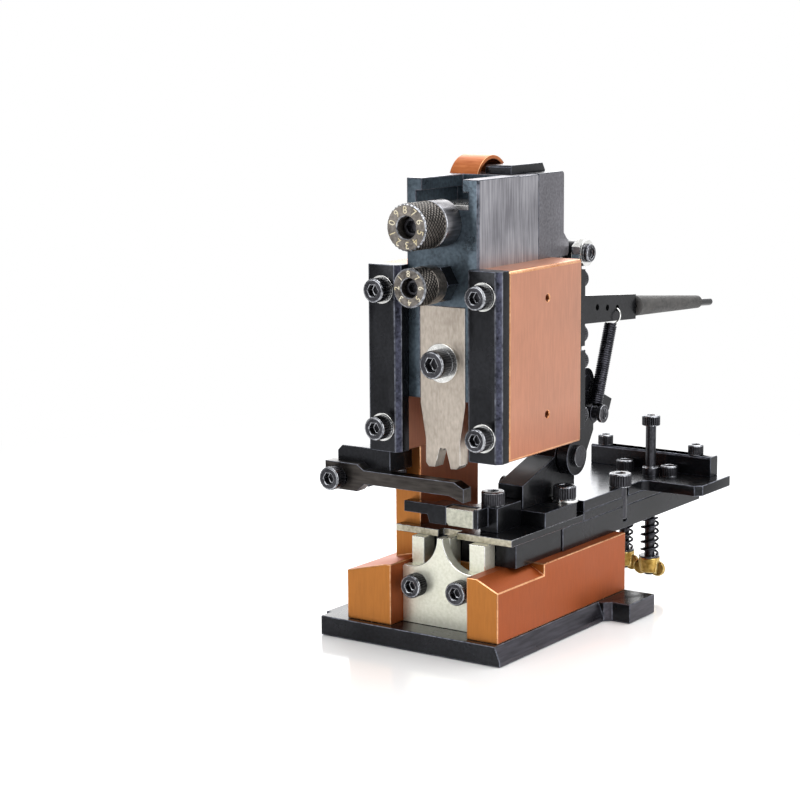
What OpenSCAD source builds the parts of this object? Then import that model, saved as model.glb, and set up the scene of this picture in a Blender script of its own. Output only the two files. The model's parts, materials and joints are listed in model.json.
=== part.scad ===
// Crimp applicator with an end-feed strip track.
// X is to the right, Y to the back, Z up.
// The origin is on the underside of the base plate, below the crimp centre.

/* [Base and frame] */
// Thickness of the base plate
base_t = 7.1; // [6:0.1:9]
// Left edge of the base plate, measured from the crimp centre
base_left = 47.2; // [44:0.1:52]
// Right edge of the base plate, measured from the crimp centre
base_right = 31.5; // [30.5:0.1:34]
// Front edge of the base plate, ahead of the crimp centre
base_front = 14.5; // [13:0.1:18]
// Depth of the base plate, front to back
base_d = 93; // [92:0.5:100]
// How far the rear right ear stands out past the right edge
ear_out = 9.8; // [5:0.1:14]
// Depth of the rear right ear
ear_d = 19; // [12:0.5:24]
// Height of the two rails and the bed above the base plate
bed_h = 22.2; // [20:0.1:25]
// Front of the two rails, ahead of the crimp centre
rail_front = 11.8; // [10.5:0.1:12.8]
// Width of the gap between the rails, which takes the anvil
rail_gap = 32.2; // [31:0.1:33]
// Width of the right rail
rail_right_w = 12.8; // [11:0.1:13.5]
// Width of the left rail
rail_left_w = 19; // [17:0.1:22]
// Height that the sloped rail tops drop by
rail_drop = 4.2; // [2:0.1:6]
// Length of the sloped part of the right rail's top
rail_slope_l = 31; // [20:0.5:34]
// Depth of the rails and bed behind the crimp centre
bed_back = 78; // [76:0.5:78]
// Half width of the head
head_half_w = 27.7; // [26.5:0.1:29]
// Height of the head
head_h = 66.1; // [62:0.1:70]
// Height of the underside of the head above the base underside
head_z = 69.2; // [68:0.1:72]
// Rear face of the head behind the crimp centre
head_back = 46.4; // [45:0.1:48]
// Width of the column under the left of the head
column_w = 11; // [9:0.1:11.2]
// Bright chamfer along the frame's edges
edge_cut = 0.7; // [0.3:0.1:1.2]

/* [Gibs] */
// Thickness of the gib plates
gib_t = 6.1; // [5:0.1:8]
// Overlap of each gib in front of the ram
gib_lap = 0.8; // [0.5:0.1:1.5]
// Chamfer on the front edges of the gibs
gib_cut = 1.8; // [0.5:0.1:2.5]

/* [Ram] */
// Width of the ram
ram_w = 30; // [29:0.1:31]
// Depth of the ram, front to back
ram_d = 39.4; // [38:0.1:40]
// Height of the ram's top at the top of its stroke
ram_top = 165.8; // [164:0.1:168]
// Length of the ram
ram_l = 77.1; // [75:0.1:80]
// Stroke of the ram
stroke = 30; // [28:0.1:30]
// Width of the slot's neck in the ram's top
slot_neck_w = 16.8; // [14:0.1:18]
// Width of the slot's wide part
slot_head_w = 21.6; // [20:0.1:23]
// Thickness of the lips beside the slot's neck
slot_lip = 4.3; // [3.5:0.1:5]
// Height of the slot's wide part
slot_head_h = 6; // [5.8:0.1:6.6]
// Depth of the blind slot
slot_d = 26; // [22:0.1:30]
// Thickness of the hardened plate on the slot's floor
thrust_t = 1.5; // [1:0.1:1.6]

/* [Crimp height dials] */
// Diameter of the upper dial
upper_dial_d = 16.5; // [15:0.1:18]
// Length of the upper dial
upper_dial_l = 12.5; // [10:0.1:15]
// Length of the upper dial's collar
upper_collar_l = 9.2; // [7:0.1:11]
// Height of the upper dial's axis below the ram's top
upper_dial_drop = 15.1; // [14.5:0.1:16]
// Diameter of the lower dial
lower_dial_d = 13.5; // [12:0.1:15]
// Length of the lower dial
lower_dial_l = 13.6; // [11:0.1:15]
// Size of the lower dial's hexagon across its flats
lower_hex_af = 12; // [11:0.1:13]
// Length of the lower dial's hexagon
lower_hex_l = 6.6; // [5:0.1:8]
// Distance between the two dial axes
dial_pitch = 20.7; // [18:0.1:22]

/* [Crimp tooling] */
// Width of the punch
punch_w = 18.7; // [18:0.1:20]
// Thickness of the punch
punch_t = 5; // [4:0.1:5.2]
// Length of the punch
punch_l = 57.1; // [56:0.1:58]
// Depth that the punch sits up into the ram's recess
punch_seat = 32.9; // [30:0.1:34]
// Half width of the punch near its tips
punch_tip_half_w = 7.2; // [6:0.1:8]
// Height of the crimping notch
notch_h = 7; // [6.5:0.1:8]
// Half width of the notch's mouth
notch_half_w = 3.25; // [3:0.1:3.6]
// Height of the anvil post's top
anvil_top = 39.5; // [38:0.1:40]
// Height of the front anvil's shoulders
anvil_shoulder = 28; // [26:0.1:29]
// Thickness of the front anvil plate
anvil_front_t = 4.3; // [3.5:0.1:5]
// Thickness of the rear anvil plate
anvil_rear_t = 6.8; // [6:0.1:7]

/* [Strip track] */
// Thickness of the track plate and the support block
deck_t = 8.6; // [8:0.1:10]
// Thickness of the strip plate
strip_t = 2.5; // [2:0.1:3]
// Front edge of the strip plate behind the crimp centre
strip_front = 3.5; // [3.4:0.1:4]
// Right edge of the track
track_right = 25; // [24:0.1:27]
// Left edge of the track plate
track_left = 12; // [10:0.1:14]
// Front end of the track plate
track_front = 38.5; // [37:0.1:40]
// Rear end of the track plate
track_back = 146; // [140:1:156]
// Height of the guide rails
rail_h = 3.5; // [3:0.1:4]
// Thickness of the guide cover with its wing
cover_t = 4; // [3:0.1:5]
// Reach of the wing past the track's right edge
wing_out = 24.2; // [22:0.1:28]
// Height of the front guide block
front_guide_h = 5.6; // [5:0.1:6]
// Height of the rear bar
bar_h = 7.6; // [6:0.1:9]
// Width of the rear bar, along the track
bar_w = 6; // [5:0.1:8]
// Length of the adjusting springs
adjust_spring_l = 15.8; // [13:0.1:17]
// Outer diameter of the adjusting springs
adjust_spring_d = 7.6; // [7:0.1:9]
// Turns of each adjusting spring
adjust_turns = 4; // [3:1:6]

/* [Shear] */
// Gap between the strip plate and the shear holder, which the strip runs through
shear_gap = 2.1; // [2:0.1:2.5]
// Height of the shear holder
shear_h = 7; // [6:0.1:7.5]
// Left end of the shear holder
shear_left = 20.6; // [18:0.1:24]
// Right end of the shear holder's front bar
shear_right = 11; // [10.5:0.1:12]
// Width of the floating shear insert
insert_w = 11.4; // [9:0.1:11.5]

/* [Stripper] */
// Height of the stripper arm's lower edge
strip_arm_z = 57; // [55.5:0.1:58]
// Height of the stripper arm
strip_arm_h = 5; // [4:0.1:6]
// Thickness of the stripper arm
strip_arm_t = 5; // [3:0.1:6]
// Reach of the stripper arm to the right of the crimp centre
strip_arm_reach = 14.4; // [10:0.1:18]

/* [Feed rocker] */
// Distance of the rocker shaft behind the head
rocker_out = 17.1; // [16.5:0.1:18]
// Height of the rocker shaft
rocker_z = 87.5; // [86:0.1:89]
// Diameter of the rocker shaft
rocker_shaft_d = 6; // [5:0.1:7]
// Height of the cam roller's axis above the rocker shaft
roller_rise = 48; // [46:0.1:49]
// Diameter of the cam roller
roller_d = 9.6; // [8:0.1:10]
// Drop of the foot pin below the rocker shaft
foot_drop = 26.3; // [25.5:0.1:27]
// Distance of the foot pin ahead of the rocker shaft
foot_fore = 6.7; // [6:0.1:7.5]
// Rise of the cam's high part out of its neck
cam_step = 3.5; // [3:0.1:3.8]
// Depth of the cam block at its neck
cam_d = 17.8; // [17:0.1:18]
// Diameter of the foot pin
foot_pin_d = 5; // [4:0.1:5.5]

/* [Spring arm] */
// Thickness of the spring arm's bar
arm_t = 3; // [2.5:0.1:3.4]
// Length of the spring arm's bar
arm_l = 46.4; // [44:0.1:50]
// Length of the tapered grip
grip_l = 53.4; // [45:0.1:60]
// Diameter of the grip at its thick end
grip_d = 9.3; // [8:0.1:11]
// Diameter of the grip at its thin end
grip_end_d = 5.6; // [5:0.1:7]
// Diameter of the tension spring
pull_spring_d = 5; // [4.6:0.1:5.4]

/* [Fits] */
// Radial gap round screws and in running bores
fit = 0.05; // [0.03:0.01:0.1]
// Gap between flat sliding faces
slide_gap = 0.05; // [0.03:0.01:0.2]
// Gap kept in front of what passes close by
air_gap = 0.3; // [0.2:0.05:0.6]

/* [Hidden] */
$fn = 48;
eps = 0.01;

// Colours of the real pieces
copper = "#B9784F";
black = "#2A2A2E";
steel = "#B5B0A8";
bright = "#D8D8D8";
brass = "#C8A850";
grey = "#77767C";

// Socket cap screws: shank radius, head radius, head height
M4 = [2, 3.5, 4];
M5 = [2.5, 4.25, 5];
M6 = [3, 5, 6];
washer_t = 1;
washer_r = 5;

// Heights of the bed and the track's layers
bed_z = base_t + bed_h;
deck_z = bed_z + deck_t;
strip_z = deck_z + strip_t;
rail_z = deck_z + rail_h;
cover_z = rail_z + cover_t;
front_guide_z = strip_z + front_guide_h;
bar_z = cover_z + bar_h;

// Frame
head_top = head_z + head_h;
ram_front = -2.1;
ram_back = ram_front + ram_d - slide_gap;
head_front = ram_front - slide_gap;
ram_half = ram_w / 2;
bore_half = ram_half + slide_gap;
rail_in = rail_gap / 2;
rail_right = rail_in + rail_right_w;
rail_left = rail_in + rail_left_w;
ear_front = base_d - base_front - ear_d;
head_wall = ram_front + ram_d + slide_gap;
bed_front = anvil_rear_t;
column_front = 8;
column_right = -head_half_w + 0.2 + column_w;
side_hole_r = 1.3;
side_holes = [[22.7, head_top - 11.5], [22.7, head_z + 13.4]];

// Ram and what it carries
ram_z = ram_top - ram_l;
slot_floor = ram_top - slot_lip - slot_head_h;
upper_z = ram_top - upper_dial_drop;
lower_z = upper_z - dial_pitch;
punch_top = ram_z + punch_seat;
punch_z = punch_top - punch_l;
punch_back = ram_front + punch_t;
punch_screw_z = ram_z + punch_seat * 0.4;
cam_bottom = head_top - 0.5;
cam_neck_y = ram_back + cam_d;
cam_high_y = cam_neck_y + cam_step;
wall_top = cam_bottom - stroke - 0.8;
screw_x = 21;
gib_screw_z = [head_z + 9, head_top - 8.3];

// Rocker
rocker_y = head_back + rocker_out;
roller_y = cam_high_y + roller_d / 2 + 0.7;
roller_z = rocker_z + roller_rise;
foot_y = rocker_y - foot_fore;
foot_z = rocker_z - foot_drop;
bearing_x = [2, 11];
roller_arm_x = [bearing_x[1] + air_gap, bearing_x[1] + 4.3];
feed_arm_x = [roller_arm_x[1] + air_gap, roller_arm_x[1] + 4.7];
shaft_x = [0, feed_arm_x[1] + 0.2];
roller_x = [bearing_x[0] + 0.5, roller_arm_x[0] - air_gap];
nut_l = 3.2;
nut_washer_l = 0.8;
bolt_x = [roller_x[0] - 1.8, feed_arm_x[0] + nut_l + nut_washer_l];

// Spring arm, its grip and the tension spring
arm_x = [feed_arm_x[1] + 1.1, feed_arm_x[1] + 1.1 + arm_t];
arm_mid = (arm_x[0] + arm_x[1]) / 2;
arm_z = head_z + 47;
arm_flange_t = 4;
arm_end_y = head_back + arm_l;
arm_droop = 4.4;
arm_end_z = arm_z - 3.2;
arm_hole_pitch = 7.4;
arm_hole_y = arm_end_y - 14.2;
arm_hole_z = arm_z - 2.2;
arm_hole_r = 1.2;
tang_r = 1.6;
tang_l = grip_l + 11;
post_y = rocker_y + 1.1;
post_z = rocker_z - 11.1;
post_r = 2;
wire_r = 0.42;
hook_r = 3.3;
eye_r = post_r + air_gap + wire_r;
pull_dy = arm_hole_y - post_y;
pull_dz = arm_hole_z - post_z;
pull_l = sqrt(pull_dy * pull_dy + pull_dz * pull_dz);
pull_tilt = atan2(pull_dy, pull_dz);
coil_z = [eye_r - wire_r / 2, pull_l - 2 * hook_r + wire_r / 2];
coil_turns = round((coil_z[1] - coil_z[0]) / (2 * wire_r));

// Feed slide and finger
slide_x = [4.4, roller_arm_x[1] - 0.3];
slide_z = front_guide_z + slide_gap;
slide_front = 27;
slide_back = foot_y + 6.7;
keel_x = [8, 12];
keel_h = 2;
guide_front = 25.9;
guide_back = 53.3;
finger_x = [1, slide_x[0] - slide_gap * 4];
finger_pin_r = 1.5;
finger_y = slide_front + 9;
finger_z = slide_z + 6;
finger_fore = 9;

// Screw places along the track
cover_front = guide_back + 0.2;
clamp_place = [20.3, guide_back - 5.8];
groove_place = [track_right - 2.2, 84.6];
wing_screw = [track_right + 4, 112];
adjust_right = [track_right - 2.5, 109];
adjust_left = [9, 113];
bar_y = 120.5;
bar_x = [-9, track_right + 19];
bar_screws = [[-4, bar_y], [track_right + 11, bar_y]];
cover_back = bar_y + 3.5;
channel_right = 5;
channel_left = -8;
spring_z = bed_z - adjust_spring_l;
nut_top = spring_z - 0.6;
nut_h = 6;
long_head_z = cover_z + 19.6;
spring_wire_r = 0.55;

// Shear holder
shear_z = strip_z + shear_gap;
shear_top = shear_z + shear_h;
shear_front = strip_front - 0.1;
shear_bar_d = 8.6;
shear_foot_x = [4.6, 15];
shear_back = guide_front + 0.1;
shear_arm_y = shear_front + shear_bar_d - 2;
insert_x = [shear_right - 2 - insert_w, shear_right - 2];
insert_d = 4.6;
shear_screw_place = [10, 15];

// Stripper
strip_arm_y = -6;
strip_block_x = [-45, -29];
strip_block_z = [strip_arm_z - 3, strip_arm_z + strip_arm_h + 2];
strip_screw_x = -39.9;
strip_screw_z = strip_arm_z + 1.5;
bracket_back = column_front - 0.1;
bracket_screw = [-24, 2.8];
bracket_screw_in = 5;

// Block between two opposite corners
module block(low, high) {
  translate(low) cube(high - low);
}

// Flat outline in Y and Z, given its thickness along X
module slab_x(x) {
  translate([x[0], 0, 0]) rotate([90, 0, 90]) linear_extrude(x[1] - x[0]) children();
}

// Flat outline in X and Z, given its thickness along Y
module slab_y(y) {
  translate([0, y[1], 0]) rotate([90, 0, 0]) linear_extrude(y[1] - y[0]) children();
}

// Round bar along X
module rod_x(x, y, z, r) {
  translate([x[0], y, z]) rotate([0, 90, 0]) cylinder(r = r, h = x[1] - x[0]);
}

// Round bar along Y
module rod_y(y, x, z, r) {
  translate([x, y[0], z]) rotate([-90, 0, 0]) cylinder(r = r, h = y[1] - y[0]);
}

// Round bar along Z
module rod_z(z, x, y, r) {
  translate([x, y, z[0]]) cylinder(r = r, h = z[1] - z[0]);
}

// Socket cap screw standing on Z = 0, head up, shank down
module cap_screw(size, shank) {
  head_cut = 0.4;
  socket_r = size[0] * 0.9;
  difference() {
    union() {
      cylinder(r = size[1], h = size[2] - head_cut);
      translate([0, 0, size[2] - head_cut])
        cylinder(r1 = size[1], r2 = size[1] - head_cut, h = head_cut);
      translate([0, 0, -shank]) cylinder(r = size[0], h = shank + eps);
    }
    translate([0, 0, size[2] * 0.45]) cylinder(r = socket_r, h = size[2], $fn = 6);
  }
}

// Cap screw with its head towards the front
module front_screw(size, shank, x, y, z) {
  translate([x, y, z]) rotate([90, 0, 0]) cap_screw(size, shank);
}

// Cap screw with its head towards the back
module back_screw(size, shank, x, y, z) {
  translate([x, y, z]) rotate([-90, 0, 0]) cap_screw(size, shank);
}

// Flat washer standing on Z = 0
module washer(outer, inner, t) {
  difference() {
    cylinder(r = outer, h = t);
    translate([0, 0, -eps]) cylinder(r = inner, h = t + 2 * eps);
  }
}

// Places of the four screws that hold the frame down
function base_screw_places() = [
  for (x = [-rail_in - 7, rail_in + rail_right_w / 2]) for (y = [-2, bed_back - 12]) [x, y]
];

module base_plate() color(black) {
  bevel_w = 2.2;
  bevel_h = base_t - 1.6;
  sink = M5[2] + 0.2;
  base_back = base_d - base_front;
  step = 2.4;
  difference() {
    linear_extrude(base_t) polygon([
      [-base_left + 2, -base_front], [base_right, -base_front], [base_right, ear_front - step],
      [base_right + step, ear_front], [base_right + ear_out, ear_front],
      [base_right + ear_out, base_back],
      [-base_left, base_back], [-base_left, -base_front + 6], [-base_left + 2, -base_front + 6]
    ]);
    slab_y([-base_front - eps, ear_front - step]) polygon([
      [base_right + eps, base_t - bevel_h], [base_right + eps, base_t + eps],
      [base_right - bevel_w, base_t + eps]
    ]);
    for (p = base_screw_places()) {
      rod_z([-eps, sink], p[0], p[1], M5[1] + 0.3);
      rod_z([0, base_t + eps], p[0], p[1], M5[0] + fit);
    }
  }
}

module base_screws() color(black) {
  sink = M5[2] + 0.2;
  for (p = base_screw_places())
    translate([p[0], p[1], sink]) rotate([180, 0, 0]) cap_screw(M5, 12);
}

// Outline of the head from above, with the ram's way cut out of it
module head_outline(wall) {
  w = head_half_w;
  difference() {
    polygon([
      [-w + edge_cut, head_front], [w, head_front], [w, head_back - edge_cut], [w - edge_cut, head_back],
      [-w + edge_cut, head_back], [-w, head_back - edge_cut], [-w, head_front + edge_cut]
    ]);
    translate([-bore_half, head_front - 1])
      square([2 * bore_half, (wall ? head_wall : head_back + 1) - head_front + 1]);
  }
}

module c_frame() color(copper) {
  front = -rail_front;
  slope_y = front + rail_slope_l;
  flat = 4.1;
  difference() {
    union() {
      slab_y([front, slope_y]) polygon([
        [rail_in, base_t], [rail_right, base_t], [rail_right, bed_z - rail_drop], [rail_in + flat, bed_z],
        [rail_in, bed_z]
      ]);
      block([rail_in, slope_y - eps, base_t], [rail_right, bed_back, bed_z]);
      slab_y([front, bed_back]) polygon([
        [-rail_left, base_t], [-rail_in, base_t], [-rail_in, bed_z], [-rail_in - 2, bed_z],
        [-rail_left, bed_z - rail_drop]
      ]);
      block([-rail_in - eps, bed_front, base_t], [rail_in + eps, bed_back, bed_z]);
      block([-head_half_w + 0.2, column_front, bed_z - rail_drop], [column_right, head_back, head_z + eps]);
      translate([0, 0, head_z]) linear_extrude(wall_top - head_z) head_outline(true);
      translate([0, 0, wall_top - eps]) linear_extrude(head_top - wall_top + eps) head_outline(false);
    }
    // Bright chamfers round the right cheek
    for (z = [head_z, head_top])
      translate([head_half_w, 0, z]) rotate([0, 45, 0])
        cube([edge_cut * 1.4, 3 * head_back, edge_cut * 1.4], center = true);
    for (p = side_holes) rod_x([head_half_w - 8, head_half_w + eps], p[0], p[1], side_hole_r);
    for (x = [-screw_x, screw_x]) for (z = gib_screw_z)
      rod_y([head_front - eps, head_front + 14], x, z, M5[0] + fit);
    for (x = [-anvil_screw_x, anvil_screw_x])
      rod_y([bed_front - eps, bed_front + 7], x, anvil_screw_z, M5[0] + fit);
    for (p = base_screw_places()) rod_z([base_t - eps, base_t + 12], p[0], p[1], M5[0] + fit);
    rod_z([head_z - eps, head_z + bracket_screw_in + 0.5], bracket_screw[0], bracket_screw[1], M5[0] + fit);
    for (p = rear_screw_places())
      rod_y([head_back - 9, head_back + eps], p[0], p[1], M4[0] + fit);
  }
}

// One gib as it lies on the left, with the chamfer of its right front edge
module gib(left, right) {
  front = head_front - gib_t;
  h = head_h + 0.4;
  difference() {
    translate([0, 0, head_z]) linear_extrude(h) polygon([
      [left, head_front], [left, front + 0.6], [left + 0.6, front], [right - gib_cut, front],
      [right, front + gib_cut], [right, head_front]
    ]);
    for (z = gib_screw_z) rod_y([front - eps, head_front + eps], sign(left + right) * screw_x, z, M5[0] + fit);
  }
}

module gib_left() color(black) gib(-head_half_w + 0.2, -ram_half + gib_lap);

module gib_right() color(black) gib(ram_half - gib_lap, head_half_w - 0.2);

module gib_screws() color(black) {
  for (x = [-screw_x, screw_x]) for (z = gib_screw_z)
    front_screw(M5, 17, x, head_front - gib_t - washer_t, z);
}

module gib_washers() color(bright) {
  for (x = [-screw_x, screw_x]) for (z = gib_screw_z)
    translate([x, head_front - gib_t, z]) rotate([90, 0, 0]) washer(washer_r, M5[0] + fit, washer_t);
}

// Depth of the shallow seat behind the slot, which leaves the lips proud for the press
strap_seat = 0.3;

module ram() color(grey) {
  corner = 0.5;
  difference() {
    translate([0, 0, ram_z]) linear_extrude(ram_l) polygon([
      [-ram_half, ram_front + corner], [-ram_half + corner, ram_front], [ram_half - corner, ram_front],
      [ram_half, ram_front + corner], [ram_half, ram_back], [-ram_half, ram_back]
    ]);
    block([-slot_neck_w / 2, ram_front - 1, slot_floor], [slot_neck_w / 2, ram_front + slot_d, ram_top + 1]);
    block([-slot_head_w / 2, ram_front - 1, slot_floor],
      [slot_head_w / 2, ram_front + slot_d, ram_top - slot_lip]);
    block([-punch_w / 2 - slide_gap, ram_front - 1, ram_z - 1],
      [punch_w / 2 + slide_gap, punch_back + slide_gap, punch_top + slide_gap]);
    rod_y([punch_back, punch_back + 11], 0, punch_screw_z, M6[0] + fit);
    rod_y([ram_front - 1, ram_front + 11], 0, upper_z, M5[0] + fit);
    rod_y([ram_front - 1, ram_front + 11], 0, lower_z, M4[0] + fit);
    for (z = cam_screw_z) rod_y([ram_back - 10, ram_back + 1], cam_screw_x, z, M4[0] + fit);
    block([-ram_half - 1, ram_front + slot_d + 0.7, ram_top - strap_seat], [ram_half + 1, ram_back + 1, ram_top + 1]);
  }
}

module thrust_plate() color(bright)
  block([-slot_head_w / 2 + slide_gap, ram_front, slot_floor],
    [slot_head_w / 2 - slide_gap, ram_front + slot_d - slide_gap, slot_floor + thrust_t]);

// Turned dial along Y: outer radius, length, sunk front bore and running bore
module dial(r, l, sunk_r, sunk_l, bore) {
  lip = 0.6;
  groove = 0.4;
  knurl_l = l * 0.62;
  rotate([90, 0, 0]) rotate_extrude() polygon([
    [bore, 0], [r - groove, 0], [r, groove], [r, l - knurl_l - groove], [r - groove, l - knurl_l],
    [r, l - knurl_l + groove], [r, l - lip], [r - lip, l], [sunk_r + lip / 2, l], [sunk_r, l - lip / 2],
    [sunk_r, l - sunk_l], [bore, l - sunk_l]
  ]);
}

upper_dial_y = ram_front - upper_collar_l - slide_gap * 2;
upper_sunk_r = M5[1] - 0.4;
upper_sunk_l = 7;
lower_dial_y = ram_front - lower_hex_l - slide_gap * 2;
lower_sunk_r = M4[1] - 0.2;
lower_sunk_l = 6;

module upper_dial() color(black) translate([0, upper_dial_y, upper_z])
  dial(upper_dial_d / 2, upper_dial_l, upper_sunk_r, upper_sunk_l, M5[0] + fit);

module upper_collar() color(grey) translate([0, ram_front, upper_z]) rotate([90, 0, 0]) difference() {
  cut = 0.5;
  rotate_extrude() polygon([
    [M5[0] + fit, 0], [upper_dial_d / 2, 0], [upper_dial_d / 2, upper_collar_l - cut],
    [upper_dial_d / 2 - cut, upper_collar_l], [M5[0] + fit, upper_collar_l]
  ]);
}

// Low-head screw that a dial turns on; its head lies sunk in the dial
module dial_screw(y, r, head_r, z) {
  head_h = 3.6;
  translate([0, y, z]) rotate([90, 0, 0]) cap_screw([r, head_r, head_h], ram_front + 10 - y);
}

module upper_dial_screw() color(grey)
  dial_screw(upper_dial_y - upper_dial_l + upper_sunk_l - fit, M5[0], upper_sunk_r - 0.3, upper_z);

module lower_dial() color(black) translate([0, lower_dial_y, lower_z])
  dial(lower_dial_d / 2, lower_dial_l, lower_sunk_r, lower_sunk_l, M4[0] + fit);

module lower_hex() color(black) translate([0, ram_front, lower_z]) rotate([90, 0, 0]) difference() {
  cylinder(r = lower_hex_af / sqrt(3), h = lower_hex_l, $fn = 6);
  translate([0, 0, -1]) cylinder(r = M4[0] + fit, h = lower_hex_l + 2);
}

module lower_dial_screw() color(grey)
  dial_screw(lower_dial_y - lower_dial_l + lower_sunk_l - fit, M4[0], lower_sunk_r - 0.3, lower_z);

module punch() color(steel) {
  half = punch_w / 2;
  tip_cut = 1.4;
  apex = 1.5;
  taper = [punch_z + 10, punch_z + 22.5];
  difference() {
    slab_y([ram_front, punch_back]) difference() {
      polygon([
        [-half, punch_top], [-half, taper[1]], [-punch_tip_half_w, taper[0]],
        [-punch_tip_half_w, punch_z + tip_cut], [-punch_tip_half_w + tip_cut, punch_z],
        [punch_tip_half_w - tip_cut, punch_z], [punch_tip_half_w, punch_z + tip_cut],
        [punch_tip_half_w, taper[0]], [half, taper[1]], [half, punch_top]
      ]);
      polygon([
        [-notch_half_w, punch_z - 1], [-notch_half_w, punch_z], [-apex, punch_z + notch_h - apex / 2],
        [apex, punch_z + notch_h - apex / 2], [notch_half_w, punch_z], [notch_half_w, punch_z - 1]
      ]);
      for (x = [-apex / 2, apex / 2]) translate([x, punch_z + notch_h - apex / 2]) circle(r = apex / 2);
    }
    rod_y([ram_front - 1, punch_back + 1], 0, punch_screw_z, M6[0] + fit);
  }
}

punch_washer_t = 1.2;

module punch_screw() color(grey) front_screw(M6, 15, 0, ram_front - punch_washer_t, punch_screw_z);

module punch_washer() color(bright) translate([0, ram_front, punch_screw_z]) rotate([90, 0, 0])
  washer(6.9, M6[0] + fit, punch_washer_t);

cam_screw_x = -9;
cam_h = ram_top - cam_bottom;
cam_screw_z = [cam_bottom + cam_h * 0.52, cam_bottom + cam_h * 0.839];

module cam_block() color(black) {
  ramp = [cam_bottom + cam_h * 0.168, cam_bottom + cam_h * 0.28];
  nose = 1.5;
  difference() {
    slab_x([-ram_half, ram_half]) union() {
      polygon([
        [ram_back, cam_bottom], [cam_high_y - 1, cam_bottom], [cam_high_y, cam_bottom + 1],
        [cam_high_y, ramp[0]], [cam_neck_y, ramp[1]], [cam_neck_y, ram_top - nose],
        [cam_neck_y - nose, ram_top], [ram_back, ram_top]
      ]);
      translate([cam_neck_y - nose, ram_top - nose]) circle(r = nose);
    }
    for (z = cam_screw_z) rod_y([ram_back - 1, cam_high_y], cam_screw_x, z, M4[0] + fit);
  }
}

module cam_screws() color(black) {
  for (z = cam_screw_z) back_screw([M4[0], M4[1], 2.6], cam_d + 8, cam_screw_x, cam_neck_y, z);
}

module top_cap() color(black) {
  cap_t = 3;
  slope = 2;
  slab_x([-2.8, 8]) polygon([
    [ram_front + slot_d + 6, ram_top], [cam_neck_y - 1.6, ram_top], [cam_neck_y - 1.6 - slope, ram_top + cap_t],
    [ram_front + slot_d + 6.6, ram_top + cap_t], [ram_front + slot_d + 6, ram_top + cap_t - 0.6]
  ]);
}

module arch_strap() color(copper) {
  arch_r = 11.1;
  arch_t = 1.4;
  arch_rise = 6.2 + strap_seat;
  slab_x([-ram_half, -3.1]) difference() {
    intersection() {
      translate([ram_front + slot_d + 11.3, ram_top - strap_seat + arch_rise - arch_r]) difference() {
        circle(r = arch_r);
        circle(r = arch_r - arch_t);
      }
      translate([ram_front + slot_d, ram_top - strap_seat]) square([2.2 * arch_r, 2 * arch_rise]);
    }
    translate([ram_back, ram_top - 2 * strap_seat]) square([2.2 * arch_r, 2 * strap_seat]);
  }
}

anvil_screw_x = 9.5;
anvil_screw_z = base_t + 14.6;

module anvil_front() color(steel) {
  half = rail_in - slide_gap;
  post_half = 1.2;
  hollow_r = anvil_top - anvil_shoulder;
  hollow_x = post_half + hollow_r;
  difference() {
    slab_y([-anvil_front_t, 0]) difference() {
      union() {
        translate([-half, base_t]) square([2 * half, anvil_shoulder - base_t]);
        translate([-hollow_x, anvil_shoulder - eps]) square([2 * hollow_x, hollow_r]);
      }
      for (x = [-hollow_x, hollow_x]) translate([x, anvil_top]) circle(r = hollow_r, $fn = 96);
    }
    for (x = [-anvil_screw_x, anvil_screw_x]) rod_y([-anvil_front_t - 1, 1], x, anvil_screw_z, M5[0] + fit);
  }
}

module anvil_rear() color(steel) {
  half = rail_in - slide_gap;
  pocket_z = anvil_shoulder - 0.7;
  post_half = 1.6;
  lug_in = 9.6;
  corner = 2;
  difference() {
    slab_y([0, anvil_rear_t]) difference() {
      union() {
        translate([-half, base_t]) square([2 * half, pocket_z - base_t]);
        translate([-post_half, pocket_z - eps]) square([2 * post_half, anvil_top - 0.6 - pocket_z]);
        translate([-half + 1.2, pocket_z - eps]) square([half - 1.2 - lug_in, deck_z - pocket_z + eps]);
        translate([lug_in, pocket_z - eps]) square([half - lug_in, deck_z - pocket_z + eps]);
      }
      for (x = [-1, 1]) translate([x * (post_half + lug_in) / 2, pocket_z + corner])
        circle(r = (lug_in - post_half) / 2);
    }
    for (x = [-anvil_screw_x, anvil_screw_x]) rod_y([-1, anvil_rear_t + 1], x, anvil_screw_z, M5[0] + fit);
  }
}

module anvil_screws() color(black) {
  for (x = [-anvil_screw_x, anvil_screw_x])
    front_screw(M5, anvil_front_t + anvil_rear_t + 6, x, -anvil_front_t, anvil_screw_z);
}

module strip_plate() color(black) {
  left = rail_in - 0.1;
  ear = left + 8.2;
  difference() {
    translate([0, 0, deck_z]) linear_extrude(strip_t) difference() {
      polygon([
        [-ear, strip_front], [track_right, strip_front], [track_right, guide_back], [-track_left, guide_back],
        [-track_left, column_front + 8], [-left, column_front + 8], [-left, column_front - 0.3],
        [-ear, column_front - 0.3]
      ]);
      translate([-5.9, strip_front - 1]) square([7.9, anvil_rear_t + air_gap - strip_front + 1]);
    }
    rod_z([deck_z - 1, strip_z + 1], shear_screw_place[0], shear_screw_place[1], M5[0] + fit);
    rod_z([deck_z - 1, strip_z + 1], clamp_place[0], clamp_place[1], M5[0] + fit);
  }
}

module support_block() color(black) {
  difference() {
    block([-rail_in + 0.1, anvil_rear_t + 0.4, bed_z], [track_right - 0.5, track_front - 0.1, deck_z]);
    rod_z([deck_z - 6, deck_z + 1], shear_screw_place[0], shear_screw_place[1], M5[0] + fit);
  }
}

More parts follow.
